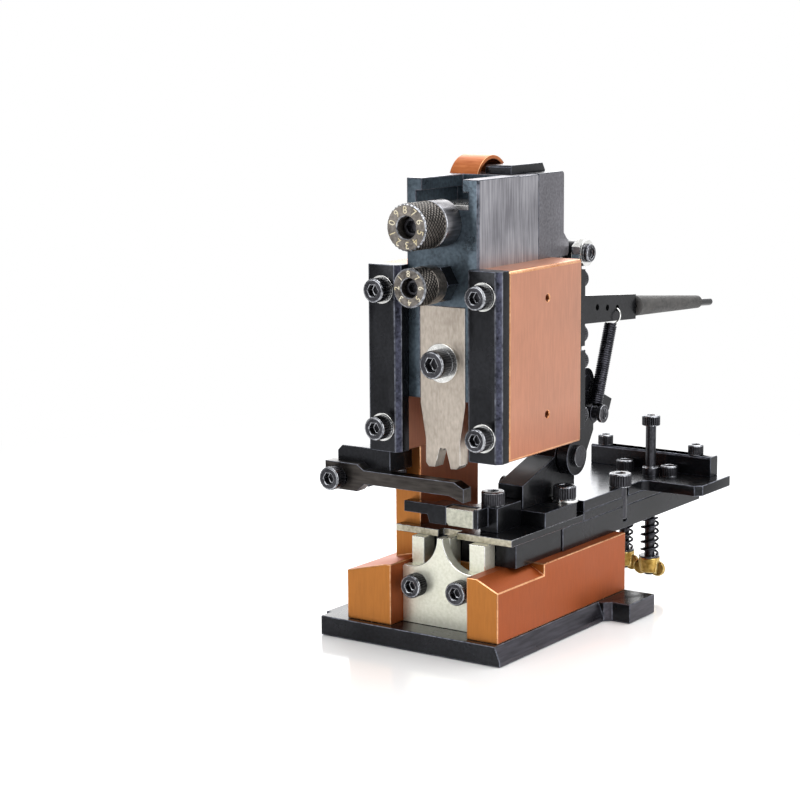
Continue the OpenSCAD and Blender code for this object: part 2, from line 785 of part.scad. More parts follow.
module shear_holder() color(black) {
  undercut = 3;
  under_x = -10.6;
  difference() {
    union() {
      slab_y([shear_front, column_front - air_gap]) polygon([
        [-shear_left, shear_top], [-shear_left, shear_z + undercut], [under_x, shear_z + undercut],
        [under_x + 1, shear_z], [shear_right, shear_z], [shear_right, shear_top]
      ]);
      block([under_x + 1, shear_front + 1, shear_z], [shear_right, shear_front + shear_bar_d, shear_top]);
      block([shear_foot_x[0], shear_arm_y, shear_z], [shear_foot_x[1], shear_back, shear_top]);
      block([shear_foot_x[0] + 3, shear_arm_y, strip_z], [shear_foot_x[1], shear_back - 0.3, shear_z + eps]);
    }
    block([insert_x[0] - slide_gap, shear_front - 1, shear_z - 1],
      [insert_x[1] + slide_gap, shear_front + insert_d + slide_gap, shear_top + 1]);
    rod_z([strip_z - 1, shear_top + 1], shear_screw_place[0], shear_screw_place[1], M5[0] + fit);
  }
}

module shear_insert() color(bright) {
  corner = 1;
  slab_y([shear_front, shear_front + insert_d]) polygon([
    [insert_x[0], shear_top - 0.5], [insert_x[0], shear_z + corner], [insert_x[0] + corner, shear_z],
    [insert_x[1], shear_z], [insert_x[1], shear_top - 0.5]
  ]);
}

module shear_screw() color(black) translate([shear_screw_place[0], shear_screw_place[1], shear_top])
  cap_screw(M5, shear_h + shear_gap + strip_t + 5);

module track_plate() color(grey) {
  difference() {
    block([-track_left, track_front, bed_z], [track_right, track_back, deck_z]);
    rod_z([deck_z - 6, deck_z + 1], clamp_place[0], clamp_place[1], M5[0] + fit);
    rod_z([deck_z - 6, deck_z + 1], groove_place[0], groove_place[1], M5[0] + fit);
    for (p = [adjust_right, adjust_left]) rod_z([bed_z - 1, deck_z + 1], p[0], p[1], M4[0] + fit);
  }
}

module front_guide() color(black) {
  notch_l = 5;
  notch_w = 3;
  difference() {
    block([channel_right, guide_front + 0.2, strip_z], [track_right, guide_back, front_guide_z]);
    block([keel_x[0], guide_front - 1, front_guide_z - keel_h - slide_gap],
      [keel_x[1], guide_back + 1, front_guide_z + 1]);
    block([track_right - notch_w, guide_back - notch_l, strip_z - 1],
      [track_right + 1, guide_back + 1, front_guide_z + 1]);
    rod_z([strip_z - 1, front_guide_z + 1], clamp_place[0], clamp_place[1], M5[0] + fit);
  }
}

// Places of the screws and studs that go down through the rear guide
function cover_holes() = [
  [adjust_right, M4[0]], [adjust_left, M4[0]], [groove_place, M5[0]], [bar_screws[0], M4[0]]
];

module guide_rails() color(grey) difference() {
  union() {
    block([-track_left, cover_front, deck_z], [channel_left, cover_back, rail_z]);
    block([channel_right, cover_front, deck_z], [track_right, cover_back, rail_z]);
  }
  for (h = cover_holes()) rod_z([deck_z - 1, rail_z + 1], h[0][0], h[0][1], h[1] + fit);
}

module guide_cover() color(grey) {
  wing_front = 98.8;
  wing_right = track_right + wing_out;
  corner = 2.4;
  fillet = 3;
  difference() {
    translate([0, 0, rail_z]) linear_extrude(cover_t) difference() {
      polygon([
        [-track_left, cover_front], [track_right, cover_front], [track_right, wing_front - fillet],
        [track_right + fillet, wing_front - fillet], [track_right + fillet, wing_front],
        [wing_right - corner, wing_front], [wing_right, wing_front + corner],
        [wing_right, cover_back], [-track_left, cover_back]
      ]);
      translate([track_right + fillet, wing_front - fillet]) circle(r = fillet);
    }
    block([groove_place[0], groove_place[1] - M5[0] - fit, rail_z - 1],
      [track_right + 1, groove_place[1] + M5[0] + fit, cover_z + 1]);
    for (h = cover_holes()) rod_z([rail_z - 1, cover_z + 1], h[0][0], h[0][1], h[1] + fit);
    for (p = [wing_screw, bar_screws[1]]) rod_z([rail_z - 1, cover_z + 1], p[0], p[1], M4[0] + fit);
  }
}

module track_screws() color(black) {
  translate([clamp_place[0], clamp_place[1], front_guide_z + washer_t])
    cap_screw(M5, washer_t + front_guide_h + strip_t + 5);
  translate([groove_place[0], groove_place[1], cover_z]) cap_screw(M5, cover_t + rail_h + 5);
  translate([wing_screw[0], wing_screw[1], cover_z]) cap_screw(M4, cover_t);
}

module track_washers() color(bright)
  translate([clamp_place[0], clamp_place[1], front_guide_z]) washer(washer_r, M5[0] + fit, washer_t);

module rear_bar() color(black) {
  cut = 0.6;
  difference() {
    slab_x(bar_x) polygon([
      [bar_y - bar_w / 2, cover_z], [bar_y + bar_w / 2, cover_z], [bar_y + bar_w / 2, bar_z - cut],
      [bar_y + bar_w / 2 - cut, bar_z], [bar_y - bar_w / 2 + cut, bar_z], [bar_y - bar_w / 2, bar_z - cut]
    ]);
    for (p = bar_screws) rod_z([cover_z - 1, bar_z + 1], p[0], p[1], M4[0] + fit);
  }
}

module rear_bar_screws() color(black) {
  for (p = bar_screws) translate([p[0], p[1], bar_z])
    cap_screw([M4[0], bar_w / 2, M4[2]], bar_h + cover_t - 0.2);
}

// Adjusting stud with a head, a shank and a collar that stands on the guide cover
module stud(head_z, collar_h) {
  collar_r = 3.3;
  translate([0, 0, head_z]) cap_screw(M4, head_z - nut_top + nut_h + 1);
  if (collar_h > 0) translate([0, 0, cover_z]) cylinder(r = collar_r, h = collar_h);
}

module adjust_screws() color(black) {
  translate([adjust_right[0], adjust_right[1], 0]) stud(long_head_z, 3.2);
  translate([adjust_left[0], adjust_left[1], 0]) stud(cover_z, 0);
}

// One ring of points round the wire at step i of the coil
function coil_ring(i, steps, r, l, sides) = [
  for (k = [0:sides - 1])
    let (turn = 360 * adjust_turns * i / steps)
    let (out = r + spring_wire_r * cos(360 * k / sides))
      [out * cos(turn), out * sin(turn), l * i / steps + spring_wire_r * sin(360 * k / sides)]
];

module coil(r, l) {
  sides = 6;
  steps = 16 * adjust_turns;
  points = [for (i = [0:steps]) each coil_ring(i, steps, r, l, sides)];
  walls = [
    for (i = [0:steps - 1]) for (k = [0:sides - 1])
      [i * sides + k, (i + 1) * sides + k, (i + 1) * sides + (k + 1) % sides, i * sides + (k + 1) % sides]
  ];
  foot = [for (k = [0:sides - 1]) k];
  top = [for (k = [0:sides - 1]) steps * sides + sides - 1 - k];
  polyhedron(points, concat(walls, [foot], [top]), convexity = 10);
}

module adjust_springs() color(bright) {
  for (p = [adjust_right, adjust_left])
    translate([p[0], p[1], spring_z + spring_wire_r])
      coil(adjust_spring_d / 2 - spring_wire_r, adjust_spring_l - 2 * spring_wire_r);
}

module adjust_washers() color(bright) {
  for (p = [adjust_right, adjust_left])
    translate([p[0], p[1], nut_top + slide_gap])
      washer(adjust_spring_d / 2 + 0.3, M4[0] + fit, spring_z - nut_top - slide_gap);
}

// Brass wing nut hanging below Z = 0
module wing_nut() {
  hub_r = [4.2, 3.4];
  wing_r = 3.0;
  wing_t = 1.8;
  wing_x = 3.7;
  difference() {
    union() {
      translate([0, 0, -nut_h]) cylinder(r1 = hub_r[1], r2 = hub_r[0], h = nut_h);
      for (x = [-wing_x, wing_x]) translate([x, wing_t / 2, -nut_h + 1.6]) rotate([90, 0, 0])
        cylinder(r = wing_r, h = wing_t);
    }
    translate([0, 0, -nut_h - 1]) cylinder(r = M4[0] + fit, h = nut_h + 2);
  }
}

module wing_nut_right() color(brass) translate([adjust_right[0], adjust_right[1], nut_top]) wing_nut();

module wing_nut_left() color(brass) translate([adjust_left[0], adjust_left[1], nut_top]) wing_nut();

module stripper_bracket() color(black) {
  top = head_z;
  low = strip_arm_z + strip_arm_h - 1;
  difference() {
    slab_y([strip_arm_y, bracket_back]) polygon([
      [strip_block_x[0] + 2, strip_block_z[0] + 1], [strip_block_x[1] - 0.2, strip_block_z[0] + 1],
      [strip_block_x[1] - 0.2, low], [bracket_screw[0] + 4, low], [bracket_screw[0] + 4, top],
      [strip_block_x[0] + 4, top], [strip_block_x[0] + 2, top - 2]
    ]);
    rod_z([low - 1, top + 1], bracket_screw[0], bracket_screw[1], M5[0] + fit);
    rod_y([strip_arm_y - 1, strip_arm_y + 11], strip_screw_x, strip_screw_z, M5[0] + fit);
  }
}

module stripper_arm() color(black) {
  slot_half = 2;
  flare = 2;
  z = [strip_arm_z, strip_arm_z + strip_arm_h];
  slab_y([strip_arm_y - strip_arm_t, strip_arm_y]) difference() {
    polygon([
      [strip_block_x[0], strip_block_z[0]], [strip_block_x[1] - 2, strip_block_z[0]],
      [strip_block_x[1] + 1, z[0]], [strip_arm_reach - 3 * flare, z[0]],
      [strip_arm_reach, z[0] - flare], [strip_arm_reach, z[1] - flare],
      [strip_arm_reach - 2 * flare, z[1]], [strip_block_x[1] + 1, z[1]],
      [strip_block_x[1] - 2, strip_block_z[1]], [strip_block_x[0], strip_block_z[1]]
    ]);
    for (x = [-slot_half, slot_half]) translate([strip_screw_x + x, strip_screw_z]) circle(r = M5[0] + fit);
    translate([strip_screw_x - slot_half, strip_screw_z - M5[0] - fit])
      square([2 * slot_half, 2 * (M5[0] + fit)]);
  }
}

module stripper_screws() color(black) {
  front_screw(M5, strip_arm_t + 10, strip_screw_x, strip_arm_y - strip_arm_t, strip_screw_z);
  low = strip_arm_z + strip_arm_h - 1;
  translate([bracket_screw[0], bracket_screw[1], low]) rotate([180, 0, 0])
    cap_screw(M5, head_z - low + bracket_screw_in);
}

bracket_z = [head_z + 4, wall_top - 2];
bracket_right = head_half_w - 1;
bracket_t = 4.5;
arm_flange_z = [wall_top - 0.5, arm_z + 15];

// Places of the screws in the head's rear face: two for the bracket, two for the spring arm
function rear_screw_places() = [
  [arm_mid, bracket_z[0] + 4.5], [arm_mid, bracket_z[1] - 4.5],
  [arm_mid, arm_flange_z[0] + 3.8], [arm_mid, arm_flange_z[1] - 3.8]
];

module rocker_bracket() color(black) {
  ear_r = 6;
  y = [head_back, head_back + bracket_t];
  difference() {
    union() {
      block([bearing_x[0], y[0], bracket_z[0]], [bracket_right, y[1], bracket_z[1]]);
      slab_x(bearing_x) union() {
        translate([rocker_y, rocker_z]) circle(r = ear_r);
        translate([y[1] - eps, rocker_z - ear_r]) square([rocker_y - y[1] + eps, 2 * ear_r]);
      }
    }
    rod_x([bearing_x[0] - 1, bearing_x[1] + 1], rocker_y, rocker_z, rocker_shaft_d / 2 + fit);
    for (z = [bracket_z[0] + 4.5, bracket_z[1] - 4.5]) rod_y([y[0] - 1, y[1] + 1], arm_mid, z, M4[0] + fit);
  }
}

module rear_screws() color(black) {
  places = rear_screw_places();
  for (i = [0:3])
    back_screw(M4, 12, places[i][0], head_back + (i < 2 ? bracket_t : arm_flange_t), places[i][1]);
}

module rocker_shaft() color(bright) {
  r = rocker_shaft_d / 2;
  rod_x(shaft_x, rocker_y, rocker_z, r);
  rod_x([shaft_x[0], bearing_x[0] - air_gap], rocker_y, rocker_z, r + 2);
}

module roller_arm() color(black) {
  hub_r = 5.6;
  end_r = 4.2;
  front = 2.3;
  back = 3.4;
  difference() {
    slab_x(roller_arm_x) union() {
      translate([rocker_y, rocker_z]) circle(r = hub_r);
      translate([roller_y, roller_z]) circle(r = end_r);
      polygon([
        [rocker_y - front, rocker_z], [rocker_y + back + 1, rocker_z], [roller_y + back, roller_z],
        [roller_y - front, roller_z]
      ]);
    }
    rod_x([roller_arm_x[0] - 1, roller_arm_x[1] + 1], rocker_y, rocker_z, rocker_shaft_d / 2 + fit);
    rod_x([roller_arm_x[0] - 1, roller_arm_x[1] + 1], roller_y, roller_z, M5[0] + fit);
  }
}

module cam_roller() color(bright) translate([roller_x[0], roller_y, roller_z]) rotate([0, 90, 0]) {
  l = roller_x[1] - roller_x[0];
  cut = 0.5;
  rotate_extrude() polygon([
    [M5[0] + fit, 0], [roller_d / 2 - cut, 0], [roller_d / 2, cut], [roller_d / 2, l - cut],
    [roller_d / 2 - cut, l], [M5[0] + fit, l]
  ]);
}

module roller_bolt() color(black) {
  translate([bolt_x[1], roller_y, roller_z]) rotate([0, 90, 0])
    cap_screw([M5[0], 3.4, 1.8], bolt_x[1] - bolt_x[0]);
  rod_x([bolt_x[0], roller_x[0] - 0.2], roller_y, roller_z, 3.4);
}

module roller_nut() color(bright) {
  nut_r = 5;
  translate([roller_arm_x[1], roller_y, roller_z]) rotate([0, 90, 0]) difference() {
    union() {
      cylinder(r = nut_r, h = nut_l + air_gap, $fn = 6);
      translate([0, 0, nut_l + air_gap - eps]) cylinder(r = nut_r - 0.1, h = nut_washer_l);
    }
    translate([0, 0, -1]) cylinder(r = M5[0] + fit, h = nut_l + nut_washer_l + 2);
  }
}

module feed_arm() color(grey) {
  hub_r = 5.6;
  foot_r = 7.2;
  foot_in = foot_r - 0.5;
  bar_half = 5;
  bar_y_mid = rocker_y + 0.3;
  tab = [rocker_y + 19, rocker_z - 8.5];
  difference() {
    union() {
      rod_x(feed_arm_x, rocker_y, rocker_z, hub_r);
      rod_x(feed_arm_x, foot_y, foot_z, foot_r);
      slab_x(feed_arm_x) polygon([
        [bar_y_mid - bar_half, rocker_z - 1], [bar_y_mid + bar_half, rocker_z - 1],
        [bar_y_mid + bar_half, rocker_z - 2.5], tab, [tab[0] - 2, tab[1] - 4],
        [bar_y_mid + bar_half, post_z - 5], [bar_y_mid + bar_half, foot_z + 8],
        [foot_y + foot_in, foot_z], [foot_y - foot_in, foot_z], [bar_y_mid - bar_half, foot_z + 10]
      ]);
    }
    rod_x([feed_arm_x[0] - 1, feed_arm_x[1] + 1], rocker_y, rocker_z, rocker_shaft_d / 2 + fit);
    rod_x([feed_arm_x[0] - 1, feed_arm_x[1] + 1], foot_y, foot_z, foot_pin_d / 2 + fit);
    rod_x([feed_arm_x[0] - 1, feed_arm_x[1] + 1], post_y, post_z, post_r + fit);
  }
}

// Headed foot pin that works in the slide's slot, and headed post for the tension spring
module feed_pins() color(bright) {
  head_l = 1.5;
  x = feed_arm_x[1];
  rod_x([slide_x[0] + 4, x], foot_y, foot_z, foot_pin_d / 2);
  rod_x([x, x + head_l], foot_y, foot_z, foot_pin_d / 2 + 1.5);
  post_x = arm_mid + pull_spring_d / 2 + air_gap;
  rod_x([feed_arm_x[0] + 0.5, post_x + head_l / 2], post_y, post_z, post_r);
  difference() {
    rod_x([post_x, post_x + head_l], post_y, post_z, post_r + 1.3);
    rod_x([post_x + head_l / 2, post_x + head_l + 1], post_y, post_z, post_r);
  }
}

module feed_slide() color(black) {
  top = [slide_z + 8.5, slide_z + 15.4, foot_z + 5.2];
  lug_y = foot_y - 5.8;
  slot_r = foot_pin_d / 2 + fit;
  slot_half = 0.6;
  difference() {
    union() {
      slab_x(slide_x) polygon([
        [slide_front, slide_z], [slide_back, slide_z], [slide_back, top[2] - 2], [slide_back - 2, top[2]],
        [lug_y, top[2]], [lug_y - 2, top[1]], [slide_front, top[0]]
      ]);
      block([keel_x[0] + slide_gap, slide_front + 1, slide_z - keel_h],
        [keel_x[1] - slide_gap, guide_back - 4, slide_z + eps]);
    }
    for (z = [-slot_half, slot_half])
      rod_x([slide_x[0] + 3, slide_x[1] + 1], foot_y, foot_z + z, slot_r);
    block([slide_x[0] + 3, foot_y - slot_r, foot_z - slot_half],
      [slide_x[1] + 1, foot_y + slot_r, foot_z + slot_half]);
    rod_x([slide_x[0] - 1, slide_x[0] + 5], finger_y, finger_z, finger_pin_r + fit);
  }
}

module feed_finger() color(steel) {
  tip_y = finger_y - finger_fore;
  tip_z = strip_z + 0.4;
  eye = 3.4;
  slab_x(finger_x) union() {
    translate([finger_y, finger_z]) circle(r = eye);
    polygon([
      [finger_y + 1, finger_z + eye - 0.8], [tip_y - 0.6, tip_z + 3], [tip_y, tip_z], [tip_y + 1.4, tip_z],
      [finger_y + eye - 0.8, finger_z - 1]
    ]);
  }
  // Pivot stub of the finger, which turns in the slide
  rod_x([finger_x[1] - eps, slide_x[0] + 4.6], finger_y, finger_z, finger_pin_r);
}

module spring_arm() color(grey) {
  root_half = 5.2;
  tail_half = grip_d / 2;
  y = [head_back, head_back + arm_flange_t];
  difference() {
    union() {
      block([bearing_x[1] + 7, y[0], arm_flange_z[0]], [bracket_right, y[1], arm_flange_z[1]]);
      slab_x(arm_x) polygon([
        [y[1] - eps, arm_z - root_half], [arm_end_y, arm_end_z - tail_half], [arm_end_y, arm_end_z + tail_half],
        [y[1] - eps, arm_z + root_half]
      ]);
      translate([arm_mid, arm_end_y - 1, arm_end_z]) rotate([-90 - arm_droop, 0, 0]) {
        cylinder(r = tang_r - 0.1, h = tang_l);
        translate([0, 0, tang_l]) sphere(r = tang_r - 0.1);
      }
    }
    for (i = [0:2])
      rod_x([arm_x[0] - 1, arm_x[1] + 1], arm_hole_y - i * arm_hole_pitch, arm_hole_z + i * 0.9, arm_hole_r);
    for (z = [arm_flange_z[0] + 3.8, arm_flange_z[1] - 3.8])
      rod_y([y[0] - 1, y[1] + 1], arm_mid, z, M4[0] + fit);
  }
}

module arm_grip() color(black) {
  start = 0.5;
  lip = 0.8;
  bore = tang_r - 0.1 + fit;
  translate([arm_mid, arm_end_y, arm_end_z - start * sin(arm_droop)]) rotate([-90 - arm_droop, 0, 0])
    rotate_extrude() polygon([
      [bore, start], [grip_d / 2 - lip, start], [grip_d / 2, start + lip], [grip_end_d / 2, grip_l - lip],
      [grip_end_d / 2 - lip, grip_l], [bore, grip_l]
    ]);
}

// Ring of spring wire round the local X axis
module wire_ring(r) {
  rotate([0, 90, 0]) rotate_extrude() translate([r, 0]) circle(r = wire_r, $fn = 16);
}

module tension_spring() color(bright) {
  outer = pull_spring_d / 2;
  inner = outer - 2 * wire_r;
  pitch = (coil_z[1] - coil_z[0]) / coil_turns;
  dip = wire_r * 0.6;
  translate([arm_mid, post_y, post_z]) rotate([-pull_tilt, 0, 0]) {
    rotate_extrude() polygon(concat(
      [[inner, coil_z[0]], [outer - dip, coil_z[0]]],
      [for (i = [0:coil_turns - 1]) each [
        [outer, coil_z[0] + (i + 0.3) * pitch], [outer, coil_z[0] + (i + 0.7) * pitch],
        [outer - dip, coil_z[0] + (i + 1) * pitch]
      ]],
      [[inner, coil_z[1]]]
    ));
    wire_ring(eye_r);
    translate([0, 0, pull_l - hook_r]) rotate([0, 0, 90]) wire_ring(hook_r);
  }
}

base_plate();
base_screws();
c_frame();
gib_left();
gib_right();
gib_screws();
gib_washers();
ram();
thrust_plate();
upper_dial();
upper_collar();
upper_dial_screw();
lower_dial();
lower_hex();
lower_dial_screw();
punch();
punch_screw();
punch_washer();
cam_block();
cam_screws();
top_cap();
arch_strap();
anvil_front();
anvil_rear();
anvil_screws();
strip_plate();
support_block();
shear_holder();
shear_insert();
shear_screw();
track_plate();
front_guide();
guide_rails();
guide_cover();
track_screws();
track_washers();
rear_bar();
rear_bar_screws();
adjust_screws();
adjust_springs();
adjust_washers();
wing_nut_right();
wing_nut_left();
stripper_bracket();
stripper_arm();
stripper_screws();
rocker_bracket();
rear_screws();
rocker_shaft();
roller_arm();
cam_roller();
roller_bolt();
roller_nut();
feed_arm();
feed_pins();
feed_slide();
feed_finger();
spring_arm();
arm_grip();
tension_spring();
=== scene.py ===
import bpy, bmesh, json
from math import atan2, radians, sin, cos, pi
from mathutils import Matrix, Vector


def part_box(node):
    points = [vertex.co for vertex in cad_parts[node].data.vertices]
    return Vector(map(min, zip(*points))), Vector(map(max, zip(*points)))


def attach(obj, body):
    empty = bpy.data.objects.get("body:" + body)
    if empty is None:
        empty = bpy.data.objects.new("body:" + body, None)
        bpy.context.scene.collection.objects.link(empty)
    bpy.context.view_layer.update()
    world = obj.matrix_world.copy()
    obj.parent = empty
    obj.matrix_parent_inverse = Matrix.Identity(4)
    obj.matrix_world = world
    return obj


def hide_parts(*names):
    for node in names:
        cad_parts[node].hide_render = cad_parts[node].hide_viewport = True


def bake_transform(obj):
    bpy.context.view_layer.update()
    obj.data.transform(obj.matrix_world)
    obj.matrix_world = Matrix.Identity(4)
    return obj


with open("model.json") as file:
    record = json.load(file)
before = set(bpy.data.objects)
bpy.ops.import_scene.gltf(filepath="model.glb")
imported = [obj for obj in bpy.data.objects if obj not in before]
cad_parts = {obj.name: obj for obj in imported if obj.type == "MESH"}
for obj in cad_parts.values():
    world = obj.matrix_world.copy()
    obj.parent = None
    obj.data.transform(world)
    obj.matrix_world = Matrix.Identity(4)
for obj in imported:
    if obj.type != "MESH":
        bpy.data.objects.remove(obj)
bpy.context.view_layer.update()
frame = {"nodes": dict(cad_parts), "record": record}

# Base plate: a ground steel plate with a milled rear ear, blackened in hot oxide.
# Its milled edges are broken and painted bright, partly as wear to bare metal and partly as a painted
# highlight, and its top face is smooth enough to mirror the white room.

# The body of each node, as the record states it.
body_of = {node: body for body, nodes in frame["record"]["behaviour"]["bodies"].items() for node in nodes}


def linear(hex_colour):
    parts = [int(hex_colour[i:i + 2], 16) / 255 for i in (0, 2, 4)]
    return [p / 12.92 if p <= 0.04045 else ((p + 0.055) / 1.055) ** 2.4 for p in parts] + [1.0]


def add(tree, kind, inputs=None, **settings):
    made = tree.nodes.new(kind)
    for key, value in settings.items():
        setattr(made, key, value)
    for key, value in (inputs or {}).items():
        if isinstance(value, bpy.types.NodeSocket):
            tree.links.new(value, made.inputs[key])
        else:
            made.inputs[key].default_value = value
    return made


def metal(name, dark, pale, roughness, grain_mm, metallic=1.0, stretch=(1, 1, 1), dents=0.04, patch_mm=9):
    """Worked metal: fine grain of grain_mm, stretched along the cut, over broad patches of handling."""
    made = bpy.data.materials.new(name)
    made.use_nodes = True
    tree = made.node_tree
    tree.nodes.clear()
    place = add(tree, "ShaderNodeTexCoord").outputs["Object"]
    along = add(tree, "ShaderNodeMapping", {"Vector": place, "Scale": stretch}).outputs["Vector"]
    grain = add(tree, "ShaderNodeTexNoise", {"Vector": along, "Scale": 500 / grain_mm, "Detail": 3})
    patch = add(tree, "ShaderNodeTexNoise", {"Vector": place, "Scale": 500 / patch_mm, "Detail": 4})
    both = add(tree, "ShaderNodeMath", {0: grain.outputs["Fac"], 1: patch.outputs["Fac"]}, operation="ADD")
    share = add(tree, "ShaderNodeMapRange", {"Value": both.outputs[0], "From Min": 0.7, "From Max": 1.3})
    colour = add(tree, "ShaderNodeMix", {0: share.outputs[0], 6: linear(dark), 7: linear(pale)},
                 data_type="RGBA")
    rough = add(tree, "ShaderNodeMapRange", {"Value": patch.outputs["Fac"], "From Min": 0.3, "From Max": 0.7,
                                             "To Min": roughness * 0.8, "To Max": roughness * 1.25})
    bump = add(tree, "ShaderNodeBump", {"Height": grain.outputs["Fac"], "Strength": dents,
                                        "Distance": 0.0002})
    shader = add(tree, "ShaderNodeBsdfPrincipled", {
        "Base Color": colour.outputs[2], "Roughness": rough.outputs[0], "Metallic": metallic,
        "Normal": bump.outputs["Normal"]})
    add(tree, "ShaderNodeOutputMaterial", {"Surface": shader.outputs[0]})
    return made


def shown(name, bm, finishes, body, crease=18):
    """Makes a piece of a finished bmesh, smooth but for its creases, and lets it ride on its body."""
    for face in bm.faces:
        face.smooth = True
    for edge in bm.edges:
        edge.smooth = len(edge.link_faces) == 2 and edge.calc_face_angle(0) < radians(crease)
    mesh = bpy.data.meshes.new(name)
    bm.to_mesh(mesh)
    bm.free()
    for finish in finishes:
        mesh.materials.append(finish)
    piece = bpy.data.objects.new(name, mesh)
    bpy.context.scene.collection.objects.link(piece)
    if body:
        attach(piece, body)
    return piece


def knurl_heads(bm, depth=0.22):
    """Cuts a straight knurl round every screw head: a groove, depth mm deep, in every second facet."""
    groove = bm.verts.layers.float.new("groove")
    done, rings = set(), []
    for start in bm.verts:
        if start in done:
            continue
        done.add(start)
        screw = [start]
        for vert in screw:
            fresh = [e.other_vert(vert) for e in vert.link_edges if e.other_vert(vert) not in done]
            done.update(fresh)
            screw.extend(fresh)
        low = Vector([min(v.co[k] for v in screw) for k in range(3)])
        high = Vector([max(v.co[k] for v in screw) for k in range(3)])
        wide, deep, tall = high - low
        # a screw is as wide across its axis one way as the other, so this tells whether the axis is Z or Y
        axis = 2 if abs(wide - deep) < abs(wide - tall) else 1
        middle = (low + high) / 2
        rim = set()
        for vert in screw:
            out = vert.co - middle
            out[axis] = 0
            if out.length > wide / 2 - 2e-5:
                rim.add(vert)
        ring = [e for v in screw for e in v.link_edges if v in rim and e.other_vert(v) in rim
                and abs(e.verts[0].co[axis] - e.verts[1].co[axis]) < 1e-6]
        levels = {}
        for edge in dict.fromkeys(ring):
            out = (edge.verts[0].co + edge.verts[1].co) / 2 - middle
            turn = (atan2(out[3 - axis], out.x) + 0.01) % (2 * pi)
            levels.setdefault(round(edge.verts[0].co[axis] * 1e5), []).append((turn, edge))
        picked = [edge for level in levels.values()
                  for turn, edge in sorted(level, key=lambda one: one[0])[::2]]
        rings.append((picked, middle, axis))
    for picked, middle, axis in rings:
        cuts = [bmesh.utils.edge_split(edge, edge.verts[0], 0.5)[1] for edge in picked]
        bmesh.ops.connect_verts(bm, verts=cuts)
        for vert in cuts:
            inward = middle - vert.co
            inward[axis] = 0
            vert.co += inward.normalized() * depth / 1000
            vert[groove] = 1.0


def shade_knurl_grooves(finish, groove_shade):
    """Darkens a finish where the groove attribute is high: painted shade in the knurl's grooves."""
    tree = finish.node_tree
    shader = next(n for n in tree.nodes if n.type == "BSDF_PRINCIPLED")
    skin = shader.inputs["Base Color"].links[0].from_socket
    depth = add(tree, "ShaderNodeAttribute", attribute_name="groove").outputs["Fac"]
    share = add(tree, "ShaderNodeMapRange", {"Value": depth, "From Min": 0.25, "From Max": 0.65})
    mixed = add(tree, "ShaderNodeMix", {0: share.outputs[0], 6: skin, 7: linear(groove_shade)}, data_type="RGBA")
    tree.links.new(mixed.outputs[2], shader.inputs["Base Color"])


def dressed(node, finish, worn_and_highlit, width=0.2, other=None, where=None, clamp=False, joined=True, screws=False):
    """A copy of a solid with its sharp edges broken by width, in mm, in the edge finish, a bright paint that
    is partly wear and partly painted highlight.

    Faces that where() picks, by normal and by centre in mm, get the other finish.
    """
    bm = bmesh.new()
    bm.from_mesh(frame["nodes"][node].data)
    bmesh.ops.remove_doubles(bm, verts=bm.verts[:], dist=2e-6)
    if joined:
        bmesh.ops.dissolve_limit(bm, angle_limit=radians(0.5), verts=bm.verts[:], edges=bm.edges[:])
    for face in bm.faces:
        face.material_index = 2 if where and where(face.normal, face.calc_center_median() * 1000) else 0
    sharp = [e for e in bm.edges if len(e.link_faces) == 2 and e.calc_face_angle(0) > radians(28)]
    made = bmesh.ops.bevel(bm, geom=sharp, offset=width / 1000, offset_type="OFFSET", affect="EDGES",
                           segments=2, profile=0.5, material=-1, clamp_overlap=clamp)
    # bevel faces take the bright edge finish: partly wear, partly painted highlight
    for face in made["faces"]:
        face.material_index = 1
    if screws:
        knurl_heads(bm)
    finishes = [finish, worn_and_highlit] + ([other] if other else [])
    piece = shown(node + "_made", bm, finishes, body_of[node])
    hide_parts(node)
    return piece


# Hot black oxide is a thin dark skin on steel: near black with a cold cast, a soft sheen
# and fine grind marks.
black_oxide = metal("black_oxide_steel", "131417", "27282C", 0.24, 0.6, metallic=0.75)
# The edges are painted a brighter steel in specks: partly skin rubbed off, partly painted highlight.
rubbed_edge_and_highlight = metal("rubbed_black_oxide_edge_and_highlight", "2E3036", "767984", 0.36, 0.7, dents=0.1, patch_mm=3)
# The cover's top faces are painted a brighter grey: a painted reflection of the white room.
painted_top_reflection = metal("black_oxide_painted_top_reflection", "4C4E52", "74767A", 0.22, 0.6, metallic=1.0, patch_mm=14, dents=0.01)
# The right side is painted a lighter violet grey: painted light on the side that faces the right lamp, over
# real grind lines.
lit_ground_side = metal("ground_base_side_painted_light", "2E2D32", "4F4D55", 0.3, 0.5, metallic=0.85,
                    stretch=(1, 0.1, 1), patch_mm=16)
# right-facing faces take the side's painted light
dressed("base_plate", black_oxide, rubbed_edge_and_highlight, 0.3, lit_ground_side, lambda n, c: n.x > 0.6)

# Frame screws: four cap screws from below that hold the frame down on the base plate,
# alloy steel, blackened, their heads sunk in the plate's underside.

# Screw heads are turned and knurled, then blackened and oiled, so they shine more than the plates.
screw_black = metal("blackened_screw_steel", "28282C", "4B4B50", 0.28, 0.5, metallic=0.85)
# The turned rims of the heads and sockets are painted bright rings, partly wear and partly painted highlight.
screw_rim_and_highlight = metal("worn_and_highlit_screw_rim", "55565C", "B9BBC0", 0.25, 0.5, patch_mm=2)
# The heads' sides have a straight knurl of about 0.5 mm, its grooves darkened with painted shade.
shade_knurl_grooves(screw_black, "0C0B0B")
dressed("base_screws", screw_black, screw_rim_and_highlight, 0.15, screws=True)
